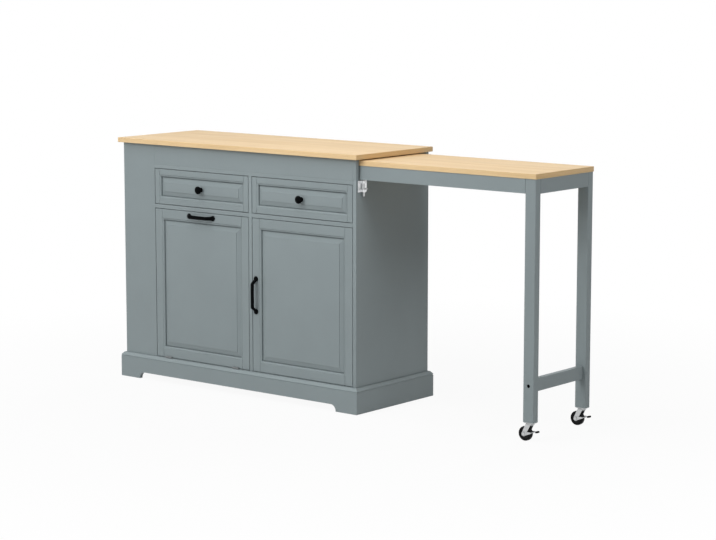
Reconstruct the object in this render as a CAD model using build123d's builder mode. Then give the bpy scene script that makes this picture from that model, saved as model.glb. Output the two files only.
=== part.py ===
from build123d import *
import math
import os

# Kitchen island: a cabinet on a plinth, with a table that pulls out at its right end on two casters.
# All sizes are in millimetres. The front of the cabinet faces -Y, and the table pulls out along +X.

# Carcass
total_height = 920.0
body_width = 1140.0
body_depth = 416.0
board = 15.0
end_stile_width = 162.0
back_panel_thickness = 9.0
drawer_opening_height = 135.5
edge_ease = 0.8

# Worktop
worktop_thickness = 18.0
worktop_overhang_front = 17.0
worktop_overhang_side = 15.0
worktop_overhang_back = 6.0
worktop_edge_radius = 1.5

# Plinth
plinth_height = 94.0
plinth_projection = 15.0
plinth_slope_height = 11.0
plinth_slope_depth = 9.0
plinth_foot_width = 97.0
plinth_cutout_height = 24.5
plinth_cutout_radius = 23.0
plinth_cutout_flat = 1.0
runner_setback_front = 120.0
runner_setback_back = 60.0
runner_count = 3

# Shelves
end_shelf_count = 2
cupboard_shelf_rise = 280.0
shelf_side_play = 1.0
shelf_setback = 40.0
shelf_pin_radius = 2.5
shelf_pin_depth = 8.0
shelf_pin_reach = 8.0
shelf_pin_inset = 45.0

# Doors and drawer fronts
front_thickness = 18.0
reveal = 2.0
door_frame_width = 34.0
drawer_frame_width = 22.0
moulding_width = 7.5
moulding_depth = 8.0
quirk_width = 1.5
bevel_width = 17.0
field_depth = 1.0
front_edge_ease = 1.2
joint_groove = 0.8

# Drawers
drawer_side_gap = 13.0
drawer_top_gap = 27.0
drawer_box_rise = 8.5
drawer_back_gap = 39.0
drawer_side_thickness = 12.0
drawer_bottom_thickness = 6.0
drawer_bottom_rise = 5.0
slide_steel = 1.5
slide_height = 25.0
slide_rise = 12.0
rail_ledge = 10.0
slide_flange = 9.0

# Tilting bin cradle
cradle_side_gap = 16.0
cradle_board = 12.0
cradle_back_gap = 119.0
cradle_rise = 14.0
cradle_front_height = 310.0
cradle_front_top = 40.0
cradle_back_height = 120.0
cradle_rail_height = 60.0

# Hinges
tilt_hinge_inset = 64.0
knuckle_radius = 3.0
knuckle_length = 10.0
knuckle_gap = 0.3
knuckle_clearance = 0.4
hinge_pin_radius = 1.5
hinge_leaf_gap = 0.2
hinge_leaf_depth = 16.0
pivot_inset = 4.0
pivot_radius = 2.5
pivot_depth = 12.0
pivot_plate_gap = 0.5
pivot_plate_length = 42.0
pivot_plate_width = 14.0
running_clearance = 0.05

# Handles and knobs
handle_projection = 26.0
handle_length = 140.0
handle_foot_radius = 10.0
handle_foot_height = 6.0
handle_bar_radius = 6.0
handle_bend_radius = 16.0
handle_shoulder = 18.0
knob_radius = 14.5
knob_projection = 23.5
knob_foot_radius = 9.0
knob_foot_height = 3.0
knob_neck_radius = 6.0
knob_head_height = 12.0
knob_front_radius = 6.5
knob_back_radius = 4.0

# Pull-out table
table_reach = 746.0
table_inner_length = 290.0
table_setback = 17.0
table_rear_gap = 54.0
table_board_thickness = 18.0
table_board_gap = 4.0
table_board_overhang = 2.0
table_closed_gap = 33.0
caster_closed_gap = 91.0
apron_height = 49.0
apron_thickness = 22.0
inner_rail_thickness = 22.0
leg_width = 42.0
leg_depth = 28.5
leg_ease = 1.5
stretcher_bottom = 167.0
stretcher_height = 44.0
stretcher_thickness = 20.0
glide_thickness = 3.0
glide_width = 12.0
guide_clearance = 0.5
guide_width = 20.0
guide_height = 20.0
guide_setback = 13.0
stop_length = 30.0
stop_width = 80.0
stop_height = 40.0
leg_bolt_radius = 3.0
leg_bolt_head_radius = 6.0
leg_bolt_head_height = 4.0
leg_bolt_recess = 5.0
leg_bolt_length = 62.0
bolt_clearance = 0.3

# Latch that holds the table
latch_width = 48.0
latch_height = 41.0
latch_gap = 0.5
latch_plate = 2.0
latch_strap_width = 16.0
latch_strap_height = 10.0
latch_bolt_radius = 4.0
latch_bolt_offset = 8.0
latch_bolt_inset = 14.0
latch_bolt_tail = 15.0
latch_bolt_drop = 5.0
latch_throw = 12.0
latch_grip_radius = 3.0
latch_grip_length = 13.0
latch_hole_clearance = 0.5
latch_hole_spare = 4.0
latch_strap_wall = 3.0
latch_screw_radius = 2.0
latch_screw_head_radius = 3.6
latch_screw_head_height = 1.8
latch_screw_length = 12.0
latch_screw_inset = 7.0

# Casters
wheel_radius = 25.0
wheel_width = 19.0
wheel_edge_radius = 4.0
wheel_dish_radius = 17.0
wheel_dish_depth = 2.5
wheel_trail = 18.0
axle_radius = 4.0
axle_head_radius = 6.5
axle_head_height = 3.0
caster_plate_thickness = 2.4
caster_plate_length = 38.0
caster_plate_width = 26.0
kingpin_radius = 4.0
kingpin_head_radius = 7.0
kingpin_head_height = 2.0
kingpin_wheel_gap = 4.0
swivel_gap = 0.3
swivel_radius = 15.0
swivel_height = 6.0
fork_steel = 2.5
fork_side_gap = 1.0
fork_end_radius = 9.0
fork_crown_back = 11.0
fork_crown_front = 8.0
brake_steel = 1.5
brake_side_gap = 0.4
brake_end_radius = 7.5
brake_arm_radius = 4.0
brake_wheel_gap = 2.0
brake_bridge = 4.0
brake_tongue_width = 11.0
brake_pad_length = 14.0
brake_pad_width = 14.0
brake_pad_height = 7.0
brake_reach = 34.0
brake_lift = 12.0

# The origin is on the floor under the middle of the whole object's box
left_margin = max(worktop_overhang_side, plinth_projection)
right_margin = table_reach - table_board_overhang - leg_width / 2 + brake_reach
front_margin = handle_projection
back_margin = max(worktop_overhang_back, plinth_projection)
body_left = (left_margin - body_width - right_margin) / 2
body_right = body_left + body_width
body_front = (front_margin - body_depth - back_margin) / 2
body_back = body_front + body_depth

# Levels
worktop_bottom = total_height - worktop_thickness
bay_height = glide_thickness + apron_height + table_board_thickness + table_board_gap
bay_floor_top = worktop_bottom - bay_height
bay_floor_bottom = bay_floor_top - board
deck_top = bay_floor_bottom - drawer_opening_height
deck_bottom = deck_top - board
cabinet_floor = plinth_height
cabinet_underside = cabinet_floor - board

# Lines across the cabinet
stile_right = body_left + end_stile_width
partition_left = stile_right - board
right_inner = body_right - board
opening_width = (right_inner - stile_right - board) / 2
divider_left = stile_right + opening_width
divider_right = divider_left + board
frame_back = body_front + board
rear_inner = body_back - board
panel_front = body_back - back_panel_thickness
left_opening = (stile_right, divider_left)
right_opening = (divider_right, right_inner)

# Table lines
table_right = body_right + table_reach
table_left = body_right - table_inner_length
table_front = body_front + table_setback
table_back = body_back - table_rear_gap
apron_front = table_front + table_board_overhang
apron_back = table_back - table_board_overhang
apron_inner_front = apron_front + apron_thickness
apron_inner_back = apron_back - apron_thickness
apron_bottom = bay_floor_top + glide_thickness
apron_top = apron_bottom + apron_height
table_top = apron_top + table_board_thickness
leg_right = table_right - table_board_overhang
leg_left = leg_right - leg_width
leg_centre_x = leg_right - leg_width / 2
leg_centres_y = (apron_front + leg_depth / 2, apron_back - leg_depth / 2)
table_travel = min(table_left - stile_right - table_closed_gap, table_reach - caster_closed_gap)
latch_bolt_x = body_right + latch_bolt_offset
latch_bolt_y = apron_front + latch_bolt_inset
latch_top = bay_floor_top - latch_gap
latch_bottom = latch_top - latch_height

# Caster levels, from the floor up
crown_bottom = 2 * wheel_radius + kingpin_wheel_gap + kingpin_head_height + swivel_gap
fork_top = crown_bottom + swivel_height
plate_bottom = fork_top + swivel_gap
caster_height = plate_bottom + caster_plate_thickness

os.makedirs("parts", exist_ok=True)


def finish(piece, name):
    """Label a finished piece and write its STEP file."""
    piece.part.label = name
    export_step(piece.part, f"parts/{name}.step")


def finish_group(pieces, name):
    """Write boards that touch, but stay separate solids, as one labelled group."""
    group = Compound([piece.part.solid() for piece in pieces])
    group.label = name
    export_step(group, f"parts/{name}.step")


def middle(span):
    """The midpoint of a (low, high) span."""
    return (span[0] + span[1]) / 2


def length(span):
    """The length of a (low, high) span."""
    return span[1] - span[0]


def fill_spans(x_span, y_span, z_span, mode=Mode.ADD):
    """Fill three (low, high) spans with a straight board, in the part being built."""
    with Locations((middle(x_span), middle(y_span), middle(z_span))):
        Box(length(x_span), length(y_span), length(z_span), mode=mode)


def straight_board(x_span, y_span, z_span):
    """Build a board of its own that fills three (low, high) spans."""
    with BuildPart() as piece:
        fill_spans(x_span, y_span, z_span)
    return piece


def edges_on(part, axis, value):
    """The part's edges that lie in the plane where the axis has this value."""
    tolerance = 0.01
    return part.edges().filter_by_position(axis, value - tolerance, value + tolerance)


# Worktop
with BuildPart() as worktop:
    fill_spans(
        (body_left - worktop_overhang_side, body_right + worktop_overhang_side),
        (body_front - worktop_overhang_front, body_back + worktop_overhang_back),
        (worktop_bottom, total_height),
    )
    fillet(worktop.edges(), radius=worktop_edge_radius)
finish(worktop, "worktop")

# Top rails, which close the table bay and carry the worktop
with BuildPart() as front_top_rail:
    fill_spans((stile_right, right_inner), (body_front, frame_back), (bay_floor_top, worktop_bottom))
    chamfer(edges_on(front_top_rail, Axis.Y, body_front), length=edge_ease)
finish(front_top_rail, "front_top_rail")

with BuildPart() as rear_top_rail:
    fill_spans((stile_right, right_inner), (rear_inner, body_back), (bay_floor_top, worktop_bottom))
    chamfer(edges_on(rear_top_rail, Axis.Y, body_back), length=edge_ease)
finish(rear_top_rail, "rear_top_rail")

# Posts that carry the worktop beside the table's opening
with BuildPart() as bay_posts:
    for y_span in ((body_front, frame_back), (rear_inner, body_back)):
        fill_spans((right_inner, body_right), y_span, (bay_floor_top, worktop_bottom))
finish(bay_posts, "bay_posts")

# Wide stiles in front of and behind the end shelves
with BuildPart() as front_end_stile:
    fill_spans((body_left, stile_right), (body_front, frame_back), (cabinet_floor, worktop_bottom))
    chamfer(edges_on(front_end_stile, Axis.Y, body_front), length=edge_ease)
finish(front_end_stile, "front_end_stile")

with BuildPart() as rear_end_stile:
    fill_spans((body_left, stile_right), (rear_inner, body_back), (cabinet_floor, worktop_bottom))
    chamfer(edges_on(rear_end_stile, Axis.Y, body_back), length=edge_ease)
finish(rear_end_stile, "rear_end_stile")

# Upright between the end shelves and the bin cupboard
with BuildPart() as end_partition:
    fill_spans((partition_left, stile_right), (frame_back, rear_inner), (cabinet_floor, worktop_bottom))
finish(end_partition, "end_partition")

# Shelf in the right cupboard, on four pins
shelf_bottom = cabinet_floor + cupboard_shelf_rise
shelf_span_y = (body_front + shelf_setback, panel_front - shelf_side_play)
pin_level = shelf_bottom - shelf_pin_radius
pin_rows_y = (shelf_span_y[0] + shelf_pin_inset, shelf_span_y[1] - shelf_pin_inset)

with BuildPart() as cupboard_shelf:
    fill_spans(
        (divider_right + shelf_side_play, right_inner - shelf_side_play),
        shelf_span_y,
        (shelf_bottom, shelf_bottom + board),
    )
finish(cupboard_shelf, "cupboard_shelf")

with BuildPart() as shelf_pins:
    for wall, inward in ((divider_right, 1), (right_inner, -1)):
        for row_y in pin_rows_y:
            tail = wall - inward * shelf_pin_depth
            with BuildSketch(Plane(origin=(tail, row_y, pin_level), z_dir=(inward, 0, 0))):
                Circle(shelf_pin_radius)
            extrude(amount=shelf_pin_depth + shelf_pin_reach)
finish(shelf_pins, "shelf_pins")


def drill_pin_holes(wall, inward):
    """Drill the shelf pin holes of one cupboard wall, in the part being built."""
    for row_y in pin_rows_y:
        with Locations(Plane(origin=(wall, row_y, pin_level), z_dir=(inward, 0, 0))):
            Hole(shelf_pin_radius + running_clearance, depth=shelf_pin_depth)


# Upright between the two cupboards
with BuildPart() as centre_divider:
    fill_spans((divider_left, divider_right), (body_front, panel_front), (cabinet_floor, bay_floor_bottom))
    chamfer(edges_on(centre_divider, Axis.Y, body_front).filter_by(Axis.Z), length=edge_ease)
    drill_pin_holes(divider_right, 1)
finish(centre_divider, "centre_divider")

# Right side, which stands on the floor and stops below the table bay
with BuildPart() as right_side_panel:
    fill_spans((right_inner, body_right), (body_front, body_back), (0, bay_floor_top))
    drill_pin_holes(right_inner, -1)
    latch_screw_levels = (latch_top - latch_screw_inset, latch_bottom + latch_screw_inset)
    latch_screw_rows = (
        latch_bolt_y - latch_width / 2 + latch_screw_inset,
        latch_bolt_y + latch_width / 2 - latch_screw_inset,
    )
    for row_y in latch_screw_rows:
        for level in latch_screw_levels:
            with Locations(Plane(origin=(body_right, row_y, level), z_dir=(1, 0, 0))):
                Hole(latch_screw_radius + running_clearance, depth=latch_screw_length)
finish(right_side_panel, "right_side_panel")

# Floors and back of the carcass
with BuildPart() as bottom_panel:
    fill_spans((body_left, right_inner), (body_front, body_back), (cabinet_underside, cabinet_floor))
finish(bottom_panel, "bottom_panel")

with BuildPart() as bay_floor:
    fill_spans((stile_right, right_inner), (body_front, panel_front), (bay_floor_bottom, bay_floor_top))
    chamfer(edges_on(bay_floor, Axis.Y, body_front).filter_by(Axis.X), length=edge_ease)
finish(bay_floor, "bay_floor")

with BuildPart() as drawer_decks:
    for x_span in (left_opening, right_opening):
        fill_spans(x_span, (body_front, panel_front), (deck_bottom, deck_top))
    chamfer(edges_on(drawer_decks, Axis.Y, body_front).filter_by(Axis.X), length=edge_ease)
finish(drawer_decks, "drawer_decks")

with BuildPart() as back_panel:
    fill_spans((stile_right, right_inner), (panel_front, body_back), (cabinet_floor, bay_floor_top))
finish(back_panel, "back_panel")

# Open shelves at the left end
end_shelf_pitch = (worktop_bottom - cabinet_floor + board) / (end_shelf_count + 1)
with BuildPart() as end_shelves:
    for step in range(1, end_shelf_count + 1):
        shelf_top = cabinet_floor + step * end_shelf_pitch
        fill_spans((body_left, partition_left), (frame_back, rear_inner), (shelf_top - board, shelf_top))
    chamfer(edges_on(end_shelves, Axis.X, body_left).filter_by(Axis.Y), length=edge_ease)
finish(end_shelves, "end_shelves")


# Plinth boards, mitred at the corners, with a sloped top edge
def plinth_board(inner_start, inner_end, outward):
    """Build one plinth board between two inner corners, with mitred ends and a sloped top edge."""
    start = Vector(*inner_start)
    end = Vector(*inner_end)
    along = (end - start).normalized()
    out = Vector(*outward)
    reach = out * plinth_projection
    with BuildPart() as part:
        with BuildSketch():
            with BuildLine():
                corners = (start, end, end + reach + along * plinth_projection,
                           start + reach - along * plinth_projection)
                Polyline(*[(corner.X, corner.Y) for corner in corners], close=True)
            make_face()
        extrude(amount=plinth_height)
        top_edges = part.faces().sort_by(Axis.Z)[-1].edges()
        outer_edge = top_edges.sort_by(lambda edge: edge.center().dot(out))[-1]
        outer_face = part.faces().sort_by(lambda face: face.center().dot(out))[-1]
        chamfer(outer_edge, length=plinth_slope_height, length2=plinth_slope_depth, reference=outer_face)
    return part


plinth_back = plinth_board((body_left, body_back), (body_right, body_back), (0, 1))
finish(plinth_back, "plinth_back")

with BuildPart() as plinth_front:
    add(plinth_board((body_left, body_front), (body_right, body_front), (0, -1)).part)
    corner_radius = min(plinth_cutout_radius, plinth_cutout_height - plinth_cutout_flat)
    with BuildSketch(Plane.XZ.offset(-body_front)):
        cutout_left = body_left - plinth_projection + plinth_foot_width
        cutout_right = body_right + plinth_projection - plinth_foot_width
        with Locations(((cutout_left + cutout_right) / 2, 0)):
            cutout = Rectangle(cutout_right - cutout_left, 2 * plinth_cutout_height)
        fillet(cutout.vertices(), radius=corner_radius)
    extrude(amount=plinth_projection, mode=Mode.SUBTRACT)
finish(plinth_front, "plinth_front")

with BuildPart() as plinth_sides:
    add(plinth_board((body_left, body_front), (body_left, body_back), (-1, 0)).part)
    add(plinth_board((body_right, body_front), (body_right, body_back), (1, 0)).part)
finish(plinth_sides, "plinth_sides")

# Boards on edge that carry the cabinet floor
with BuildPart() as base_runners:
    for place in range(runner_count):
        runner_left = body_left + place * (divider_left - body_left) / (runner_count - 1)
        fill_spans(
            (runner_left, runner_left + board),
            (body_front + runner_setback_front, body_back - runner_setback_back),
            (0, cabinet_underside),
        )
finish(base_runners, "base_runners")


# Doors and drawer fronts: a flat frame, a moulding, a quirk, a sloped bevel and a raised field
def raised_front(x_span, z_span, frame_width):
    """Build a door or drawer front that fills an opening less the reveal on every side."""
    wide = length(x_span) - 2 * reveal
    high = length(z_span) - 2 * reveal
    centre = (middle(x_span), middle(z_span))
    face = Plane.XZ.offset(-body_front)

    def inset_rectangle(inset):
        with Locations(centre):
            Rectangle(wide - 2 * inset, high - 2 * inset)

    with BuildPart() as front:
        with BuildSketch(face):
            inset_rectangle(0)
        extrude(amount=-front_thickness)
        chamfer(edges_on(front, Axis.Y, body_front), length=front_edge_ease)
        with BuildSketch(face):
            inset_rectangle(frame_width)
        with BuildSketch(face.offset(-moulding_depth)):
            inset_rectangle(frame_width + moulding_width)
        loft(mode=Mode.SUBTRACT)
        with BuildSketch(face.offset(-moulding_depth)):
            inset_rectangle(frame_width + moulding_width + quirk_width)
        with BuildSketch(face.offset(-field_depth)):
            inset_rectangle(frame_width + moulding_width + quirk_width + bevel_width)
        loft()
        groove_length = frame_width - front_edge_ease
        groove_x = wide / 2 - frame_width
        groove_z = high / 2 - front_edge_ease - groove_length / 2
        for side_x in (-groove_x, groove_x):
            for side_z in (-groove_z, groove_z):
                with Locations((centre[0] + side_x, body_front, centre[1] + side_z)):
                    Box(joint_groove, 2 * joint_groove, groove_length, mode=Mode.SUBTRACT)
    return front


door_opening = (cabinet_floor, deck_bottom)
drawer_opening = (deck_top, bay_floor_bottom)
door_bottom = cabinet_floor + reveal
door_top = deck_bottom - reveal
front_back = body_front + front_thickness

tilt_door = raised_front(left_opening, door_opening, door_frame_width)
finish(tilt_door, "tilt_door")

# The right door turns on a pin above and below its right edge
pivot_x = right_inner - reveal - pivot_inset
pivot_y = body_front + pivot_inset
with BuildPart() as cupboard_door:
    add(raised_front(right_opening, door_opening, door_frame_width).part)
    for level, up in ((door_top, 1), (door_bottom, -1)):
        with Locations(Plane(origin=(pivot_x, pivot_y, level), z_dir=(0, 0, up))):
            Hole(pivot_radius + running_clearance, depth=pivot_depth + bolt_clearance)
finish(cupboard_door, "cupboard_door")

with BuildPart() as door_pivots:
    plate_span_x = (right_inner - pivot_plate_length, right_inner)
    plate_span_y = (body_front + pivot_inset - pivot_radius, body_front + pivot_plate_width)
    for seat, up in ((deck_bottom, -1), (cabinet_floor, 1)):
        plate_end = seat + up * (reveal - pivot_plate_gap)
        fill_spans(plate_span_x, plate_span_y, (min(seat, plate_end), max(seat, plate_end)))
        with BuildSketch(Plane(origin=(pivot_x, pivot_y, seat), z_dir=(0, 0, up))):
            Circle(pivot_radius)
        extrude(amount=reveal + pivot_depth)
finish(door_pivots, "door_pivots")

# Butt hinges at the foot of the tilting door, lying in the gap under it
tilt_axis_y = body_front - knuckle_radius - knuckle_clearance
tilt_axis_z = cabinet_floor + knuckle_radius + knuckle_clearance
tilt_hinge_centres = (
    left_opening[0] + reveal + tilt_hinge_inset,
    left_opening[1] - reveal - tilt_hinge_inset,
)
hinge_half = 1.5 * knuckle_length + knuckle_gap
hinge_leaf = (reveal - hinge_leaf_gap) / 2


def hinge_round(start_x, long, radius, mode=Mode.ADD):
    """Add or cut a round along the tilting door's axis, in the part being built."""
    with Locations(Plane(origin=(start_x, tilt_axis_y, tilt_axis_z), z_dir=(1, 0, 0))):
        Cylinder(radius, long, align=(Align.CENTER, Align.CENTER, Align.MIN), mode=mode)


with BuildPart() as tilt_hinge_seats:
    for centre_x in tilt_hinge_centres:
        mid_span = (centre_x - knuckle_length / 2, centre_x + knuckle_length / 2)
        fill_spans(
            (centre_x - hinge_half, centre_x + hinge_half),
            (body_front, body_front + hinge_leaf_depth),
            (cabinet_floor, cabinet_floor + hinge_leaf),
        )
        fill_spans(mid_span, (tilt_axis_y, body_front), (cabinet_floor, cabinet_floor + hinge_leaf))
        hinge_round(mid_span[0], knuckle_length, knuckle_radius)
        hinge_round(centre_x - hinge_half, 2 * hinge_half, hinge_pin_radius)
finish(tilt_hinge_seats, "tilt_hinge_seats")

with BuildPart() as tilt_hinge_leaves:
    for centre_x in tilt_hinge_centres:
        fill_spans(
            (centre_x - hinge_half, centre_x + hinge_half),
            (body_front, body_front + hinge_leaf_depth),
            (door_bottom - hinge_leaf, door_bottom),
        )
        for start_x in (centre_x - hinge_half, centre_x + hinge_half - knuckle_length):
            hinge_round(start_x, knuckle_length, knuckle_radius)
            fill_spans(
                (start_x, start_x + knuckle_length),
                (tilt_axis_y, body_front),
                (door_bottom - hinge_leaf, door_bottom),
            )
        hinge_round(
            centre_x - hinge_half,
            2 * hinge_half,
            hinge_pin_radius + running_clearance,
            mode=Mode.SUBTRACT,
        )
finish(tilt_hinge_leaves, "tilt_hinge_leaves")

# Cradle behind the tilting door, which holds a waste bin
cradle_span_x = (left_opening[0] + cradle_side_gap, left_opening[1] - cradle_side_gap)
cradle_inner_x = (cradle_span_x[0] + cradle_board, cradle_span_x[1] - cradle_board)
cradle_floor = cabinet_floor + cradle_rise
cradle_back = panel_front - cradle_back_gap
cradle_rail_top = cradle_floor + cradle_back_height


def cradle_side(side_x):
    """Build one side of the cradle, lower at the back than behind the door."""
    with BuildPart() as side:
        with BuildSketch(Plane(origin=(side_x, 0, 0), x_dir=(0, 1, 0), z_dir=(1, 0, 0))):
            with BuildLine():
                Polyline(
                    (front_back, cradle_floor),
                    (cradle_back, cradle_floor),
                    (cradle_back, cradle_rail_top),
                    (front_back + cradle_front_top, cradle_floor + cradle_front_height),
                    (front_back, cradle_floor + cradle_front_height),
                    close=True,
                )
            make_face()
        extrude(amount=cradle_board)
    return side


cradle_bottom = straight_board(
    cradle_inner_x,
    (front_back, cradle_back),
    (cradle_floor, cradle_floor + cradle_board),
)
cradle_rail = straight_board(
    cradle_inner_x,
    (cradle_back - cradle_board, cradle_back),
    (cradle_rail_top - cradle_rail_height, cradle_rail_top),
)
cradle_walls = [cradle_side(side_x) for side_x in (cradle_span_x[0], cradle_inner_x[1])]
finish_group([*cradle_walls, cradle_bottom, cradle_rail], "bin_cradle")

# Drawers: a raised front, a box of boards, and an angle on each side that runs on a rail
drawer_bottom_edge = deck_top + drawer_box_rise
rail_level = drawer_bottom_edge + slide_rise
drawer_span_y = (front_back, panel_front - drawer_back_gap)


def drawer_boards(x_span):
    """Build the sides, back and bottom of a drawer for one opening."""
    outer = (x_span[0] + drawer_side_gap, x_span[1] - drawer_side_gap)
    inner = (outer[0] + drawer_side_thickness, outer[1] - drawer_side_thickness)
    tall = (drawer_bottom_edge, bay_floor_bottom - drawer_top_gap)
    back_span = (drawer_span_y[1] - drawer_side_thickness, drawer_span_y[1])
    floor = drawer_bottom_edge + drawer_bottom_rise
    return [
        straight_board((outer[0], inner[0]), drawer_span_y, tall),
        straight_board((inner[1], outer[1]), drawer_span_y, tall),
        straight_board(inner, back_span, tall),
        straight_board(inner, (drawer_span_y[0], back_span[0]), (floor, floor + drawer_bottom_thickness)),
    ]


def drawer_angles(x_span):
    """Build the two steel angles that are screwed to the sides of a drawer."""
    with BuildPart() as angles:
        for side, inward in ((x_span[0] + drawer_side_gap, 1), (x_span[1] - drawer_side_gap, -1)):
            upright = sorted((side, side - inward * slide_steel))
            flange = sorted((side, side - inward * slide_flange))
            fill_spans(upright, drawer_span_y, (rail_level, rail_level + slide_height))
            fill_spans(flange, drawer_span_y, (rail_level, rail_level + slide_steel))
    return angles


def drawer_knob(x_span):
    """Build a round knob on the middle of a drawer front: foot, neck and rounded head."""
    seat_point = (middle(x_span), body_front + field_depth, middle(drawer_opening))
    seat = Plane(origin=seat_point, z_dir=(0, -1, 0))
    head_start = knob_projection + field_depth - knob_head_height
    with BuildPart() as knob:
        with BuildSketch(seat.offset(head_start)):
            Circle(knob_radius)
        extrude(amount=knob_head_height)
        fillet(knob.edges().sort_by(Axis.Y)[0], radius=knob_front_radius)
        fillet(knob.edges().sort_by(Axis.Y)[-1], radius=knob_back_radius)
        with BuildSketch(seat):
            Circle(knob_neck_radius)
        extrude(amount=head_start)
        with BuildSketch(seat):
            Circle(knob_foot_radius)
        extrude(amount=knob_foot_height)
    return knob


for hand, opening in (("left", left_opening), ("right", right_opening)):
    drawer_front = raised_front(opening, drawer_opening, drawer_frame_width)
    finish(drawer_front, f"{hand}_drawer_front")
    finish_group(drawer_boards(opening), f"{hand}_drawer_box")
    finish(drawer_angles(opening), f"{hand}_drawer_slides")
    finish(drawer_knob(opening), f"{hand}_drawer_knob")

with BuildPart() as drawer_rails:
    for opening in (left_opening, right_opening):
        for wall, inward in ((opening[0], 1), (opening[1], -1)):
            upright = sorted((wall, wall + inward * slide_steel))
            ledge = sorted((wall, wall + inward * rail_ledge))
            fill_spans(upright, drawer_span_y, (rail_level - slide_steel, rail_level + slide_height))
            fill_spans(ledge, drawer_span_y, (rail_level - slide_steel, rail_level))
finish(drawer_rails, "drawer_rails")


# Bow handles with round feet
def bow_handle(centre_x, centre_z, along):
    """Build a bow handle on the cabinet front, lying along the given direction."""
    direction = Vector(*along)
    outward = Vector(0, -1, 0)
    seat = Vector(centre_x, body_front, centre_z)
    side_plane = Plane(origin=seat, x_dir=direction, z_dir=direction.cross(outward))
    half = handle_length / 2 - handle_foot_radius
    bar_line = handle_projection - handle_bar_radius
    with BuildPart() as handle:
        with BuildLine(side_plane) as bow:
            FilletPolyline(
                (-half, handle_foot_height / 2),
                (-half + handle_shoulder, bar_line),
                (half - handle_shoulder, bar_line),
                (half, handle_foot_height / 2),
                radius=handle_bend_radius,
            )
        with BuildSketch(Plane(origin=bow.line @ 0, z_dir=bow.line % 0)):
            Circle(handle_bar_radius)
        sweep(path=bow.line)
        for end in (-half, half):
            with BuildSketch(Plane(origin=seat + direction * end, z_dir=outward)):
                Circle(handle_foot_radius)
            extrude(amount=handle_foot_height)
        split(bisect_by=Plane(origin=seat, z_dir=outward), keep=Keep.TOP)
    return handle


door_middle = middle((door_bottom, door_top))
handle_inset = door_frame_width / 2
finish(bow_handle(middle(left_opening), door_top - handle_inset, (1, 0, 0)), "tilt_door_handle")
finish(
    bow_handle(right_opening[0] + reveal + handle_inset, door_middle, (0, 0, 1)),
    "cupboard_door_handle",
)

# Pull-out table
with BuildPart() as table_board:
    fill_spans((table_left, table_right), (table_front, table_back), (apron_top, table_top))
    fillet(table_board.edges(), radius=worktop_edge_radius)
finish(table_board, "table_board")

with BuildPart() as table_front_apron:
    fill_spans((table_left, leg_left), (apron_front, apron_inner_front), (apron_bottom, apron_top))
    hole_depth = latch_throw - latch_bolt_drop + latch_hole_spare
    for hole_x in (latch_bolt_x, latch_bolt_x + table_travel):
        with Locations(Plane(origin=(hole_x, latch_bolt_y, apron_bottom), z_dir=(0, 0, -1))):
            Hole(latch_bolt_radius + latch_hole_clearance, depth=hole_depth)
finish(table_front_apron, "table_front_apron")

with BuildPart() as table_rear_apron:
    fill_spans((table_left, leg_left), (apron_inner_back, apron_back), (apron_bottom, apron_top))
finish(table_rear_apron, "table_rear_apron")

with BuildPart() as table_end_apron:
    fill_spans(
        (leg_right - apron_thickness, leg_right),
        (apron_front + leg_depth, apron_back - leg_depth),
        (apron_bottom, apron_top),
    )
finish(table_end_apron, "table_end_apron")

with BuildPart() as table_inner_rail:
    fill_spans(
        (table_left, table_left + inner_rail_thickness),
        (apron_inner_front, apron_inner_back),
        (apron_bottom, apron_top),
    )
finish(table_inner_rail, "table_inner_rail")

# Legs, bolted to the stretcher between them
stretcher_middle = stretcher_bottom + stretcher_height / 2
leg_faces = {"front": (apron_front, -1), "rear": (apron_back, 1)}
for name, (face_y, out) in leg_faces.items():
    with BuildPart() as leg:
        leg_span_y = sorted((face_y, face_y - out * leg_depth))
        fill_spans((leg_left, leg_right), leg_span_y, (caster_height, apron_top))
        chamfer(leg.edges().filter_by(Axis.Z), length=leg_ease)
        with Locations(Plane(origin=(leg_centre_x, face_y, stretcher_middle), z_dir=(0, out, 0))):
            CounterBoreHole(
                leg_bolt_radius + bolt_clearance,
                leg_bolt_head_radius + bolt_clearance,
                leg_bolt_recess,
            )
    finish(leg, f"{name}_leg")

stretcher_span_y = (apron_front + leg_depth, apron_back - leg_depth)
with BuildPart() as leg_stretcher:
    fill_spans(
        (leg_centre_x - stretcher_thickness / 2, leg_centre_x + stretcher_thickness / 2),
        stretcher_span_y,
        (stretcher_bottom, stretcher_bottom + stretcher_height),
    )
    chamfer(leg_stretcher.edges().filter_by(Axis.Y), length=edge_ease)
    for end_y, out in ((stretcher_span_y[0], -1), (stretcher_span_y[1], 1)):
        with Locations(Plane(origin=(leg_centre_x, end_y, stretcher_middle), z_dir=(0, out, 0))):
            Hole(leg_bolt_radius + bolt_clearance, depth=leg_bolt_length - leg_depth + leg_bolt_recess)
finish(leg_stretcher, "leg_stretcher")

with BuildPart() as leg_bolts:
    for face_y, out in leg_faces.values():
        seat_y = face_y - out * leg_bolt_recess
        with BuildSketch(Plane(origin=(leg_centre_x, seat_y, stretcher_middle), z_dir=(0, out, 0))):
            Circle(leg_bolt_head_radius)
        extrude(amount=leg_bolt_head_height)
        with BuildSketch(Plane(origin=(leg_centre_x, seat_y, stretcher_middle), z_dir=(0, -out, 0))):
            Circle(leg_bolt_radius)
        extrude(amount=leg_bolt_length - leg_bolt_recess)
finish(leg_bolts, "leg_bolts")

# Glides under the aprons, the guide behind the table and the stop that keeps it in
bay_span_x = (stile_right + guide_setback, right_inner)
with BuildPart() as glide_strips:
    for middle_y in (apron_front + apron_thickness / 2, apron_back - apron_thickness / 2):
        fill_spans(
            bay_span_x,
            (middle_y - glide_width / 2, middle_y + glide_width / 2),
            (bay_floor_top, apron_bottom),
        )
finish(glide_strips, "glide_strips")

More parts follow.
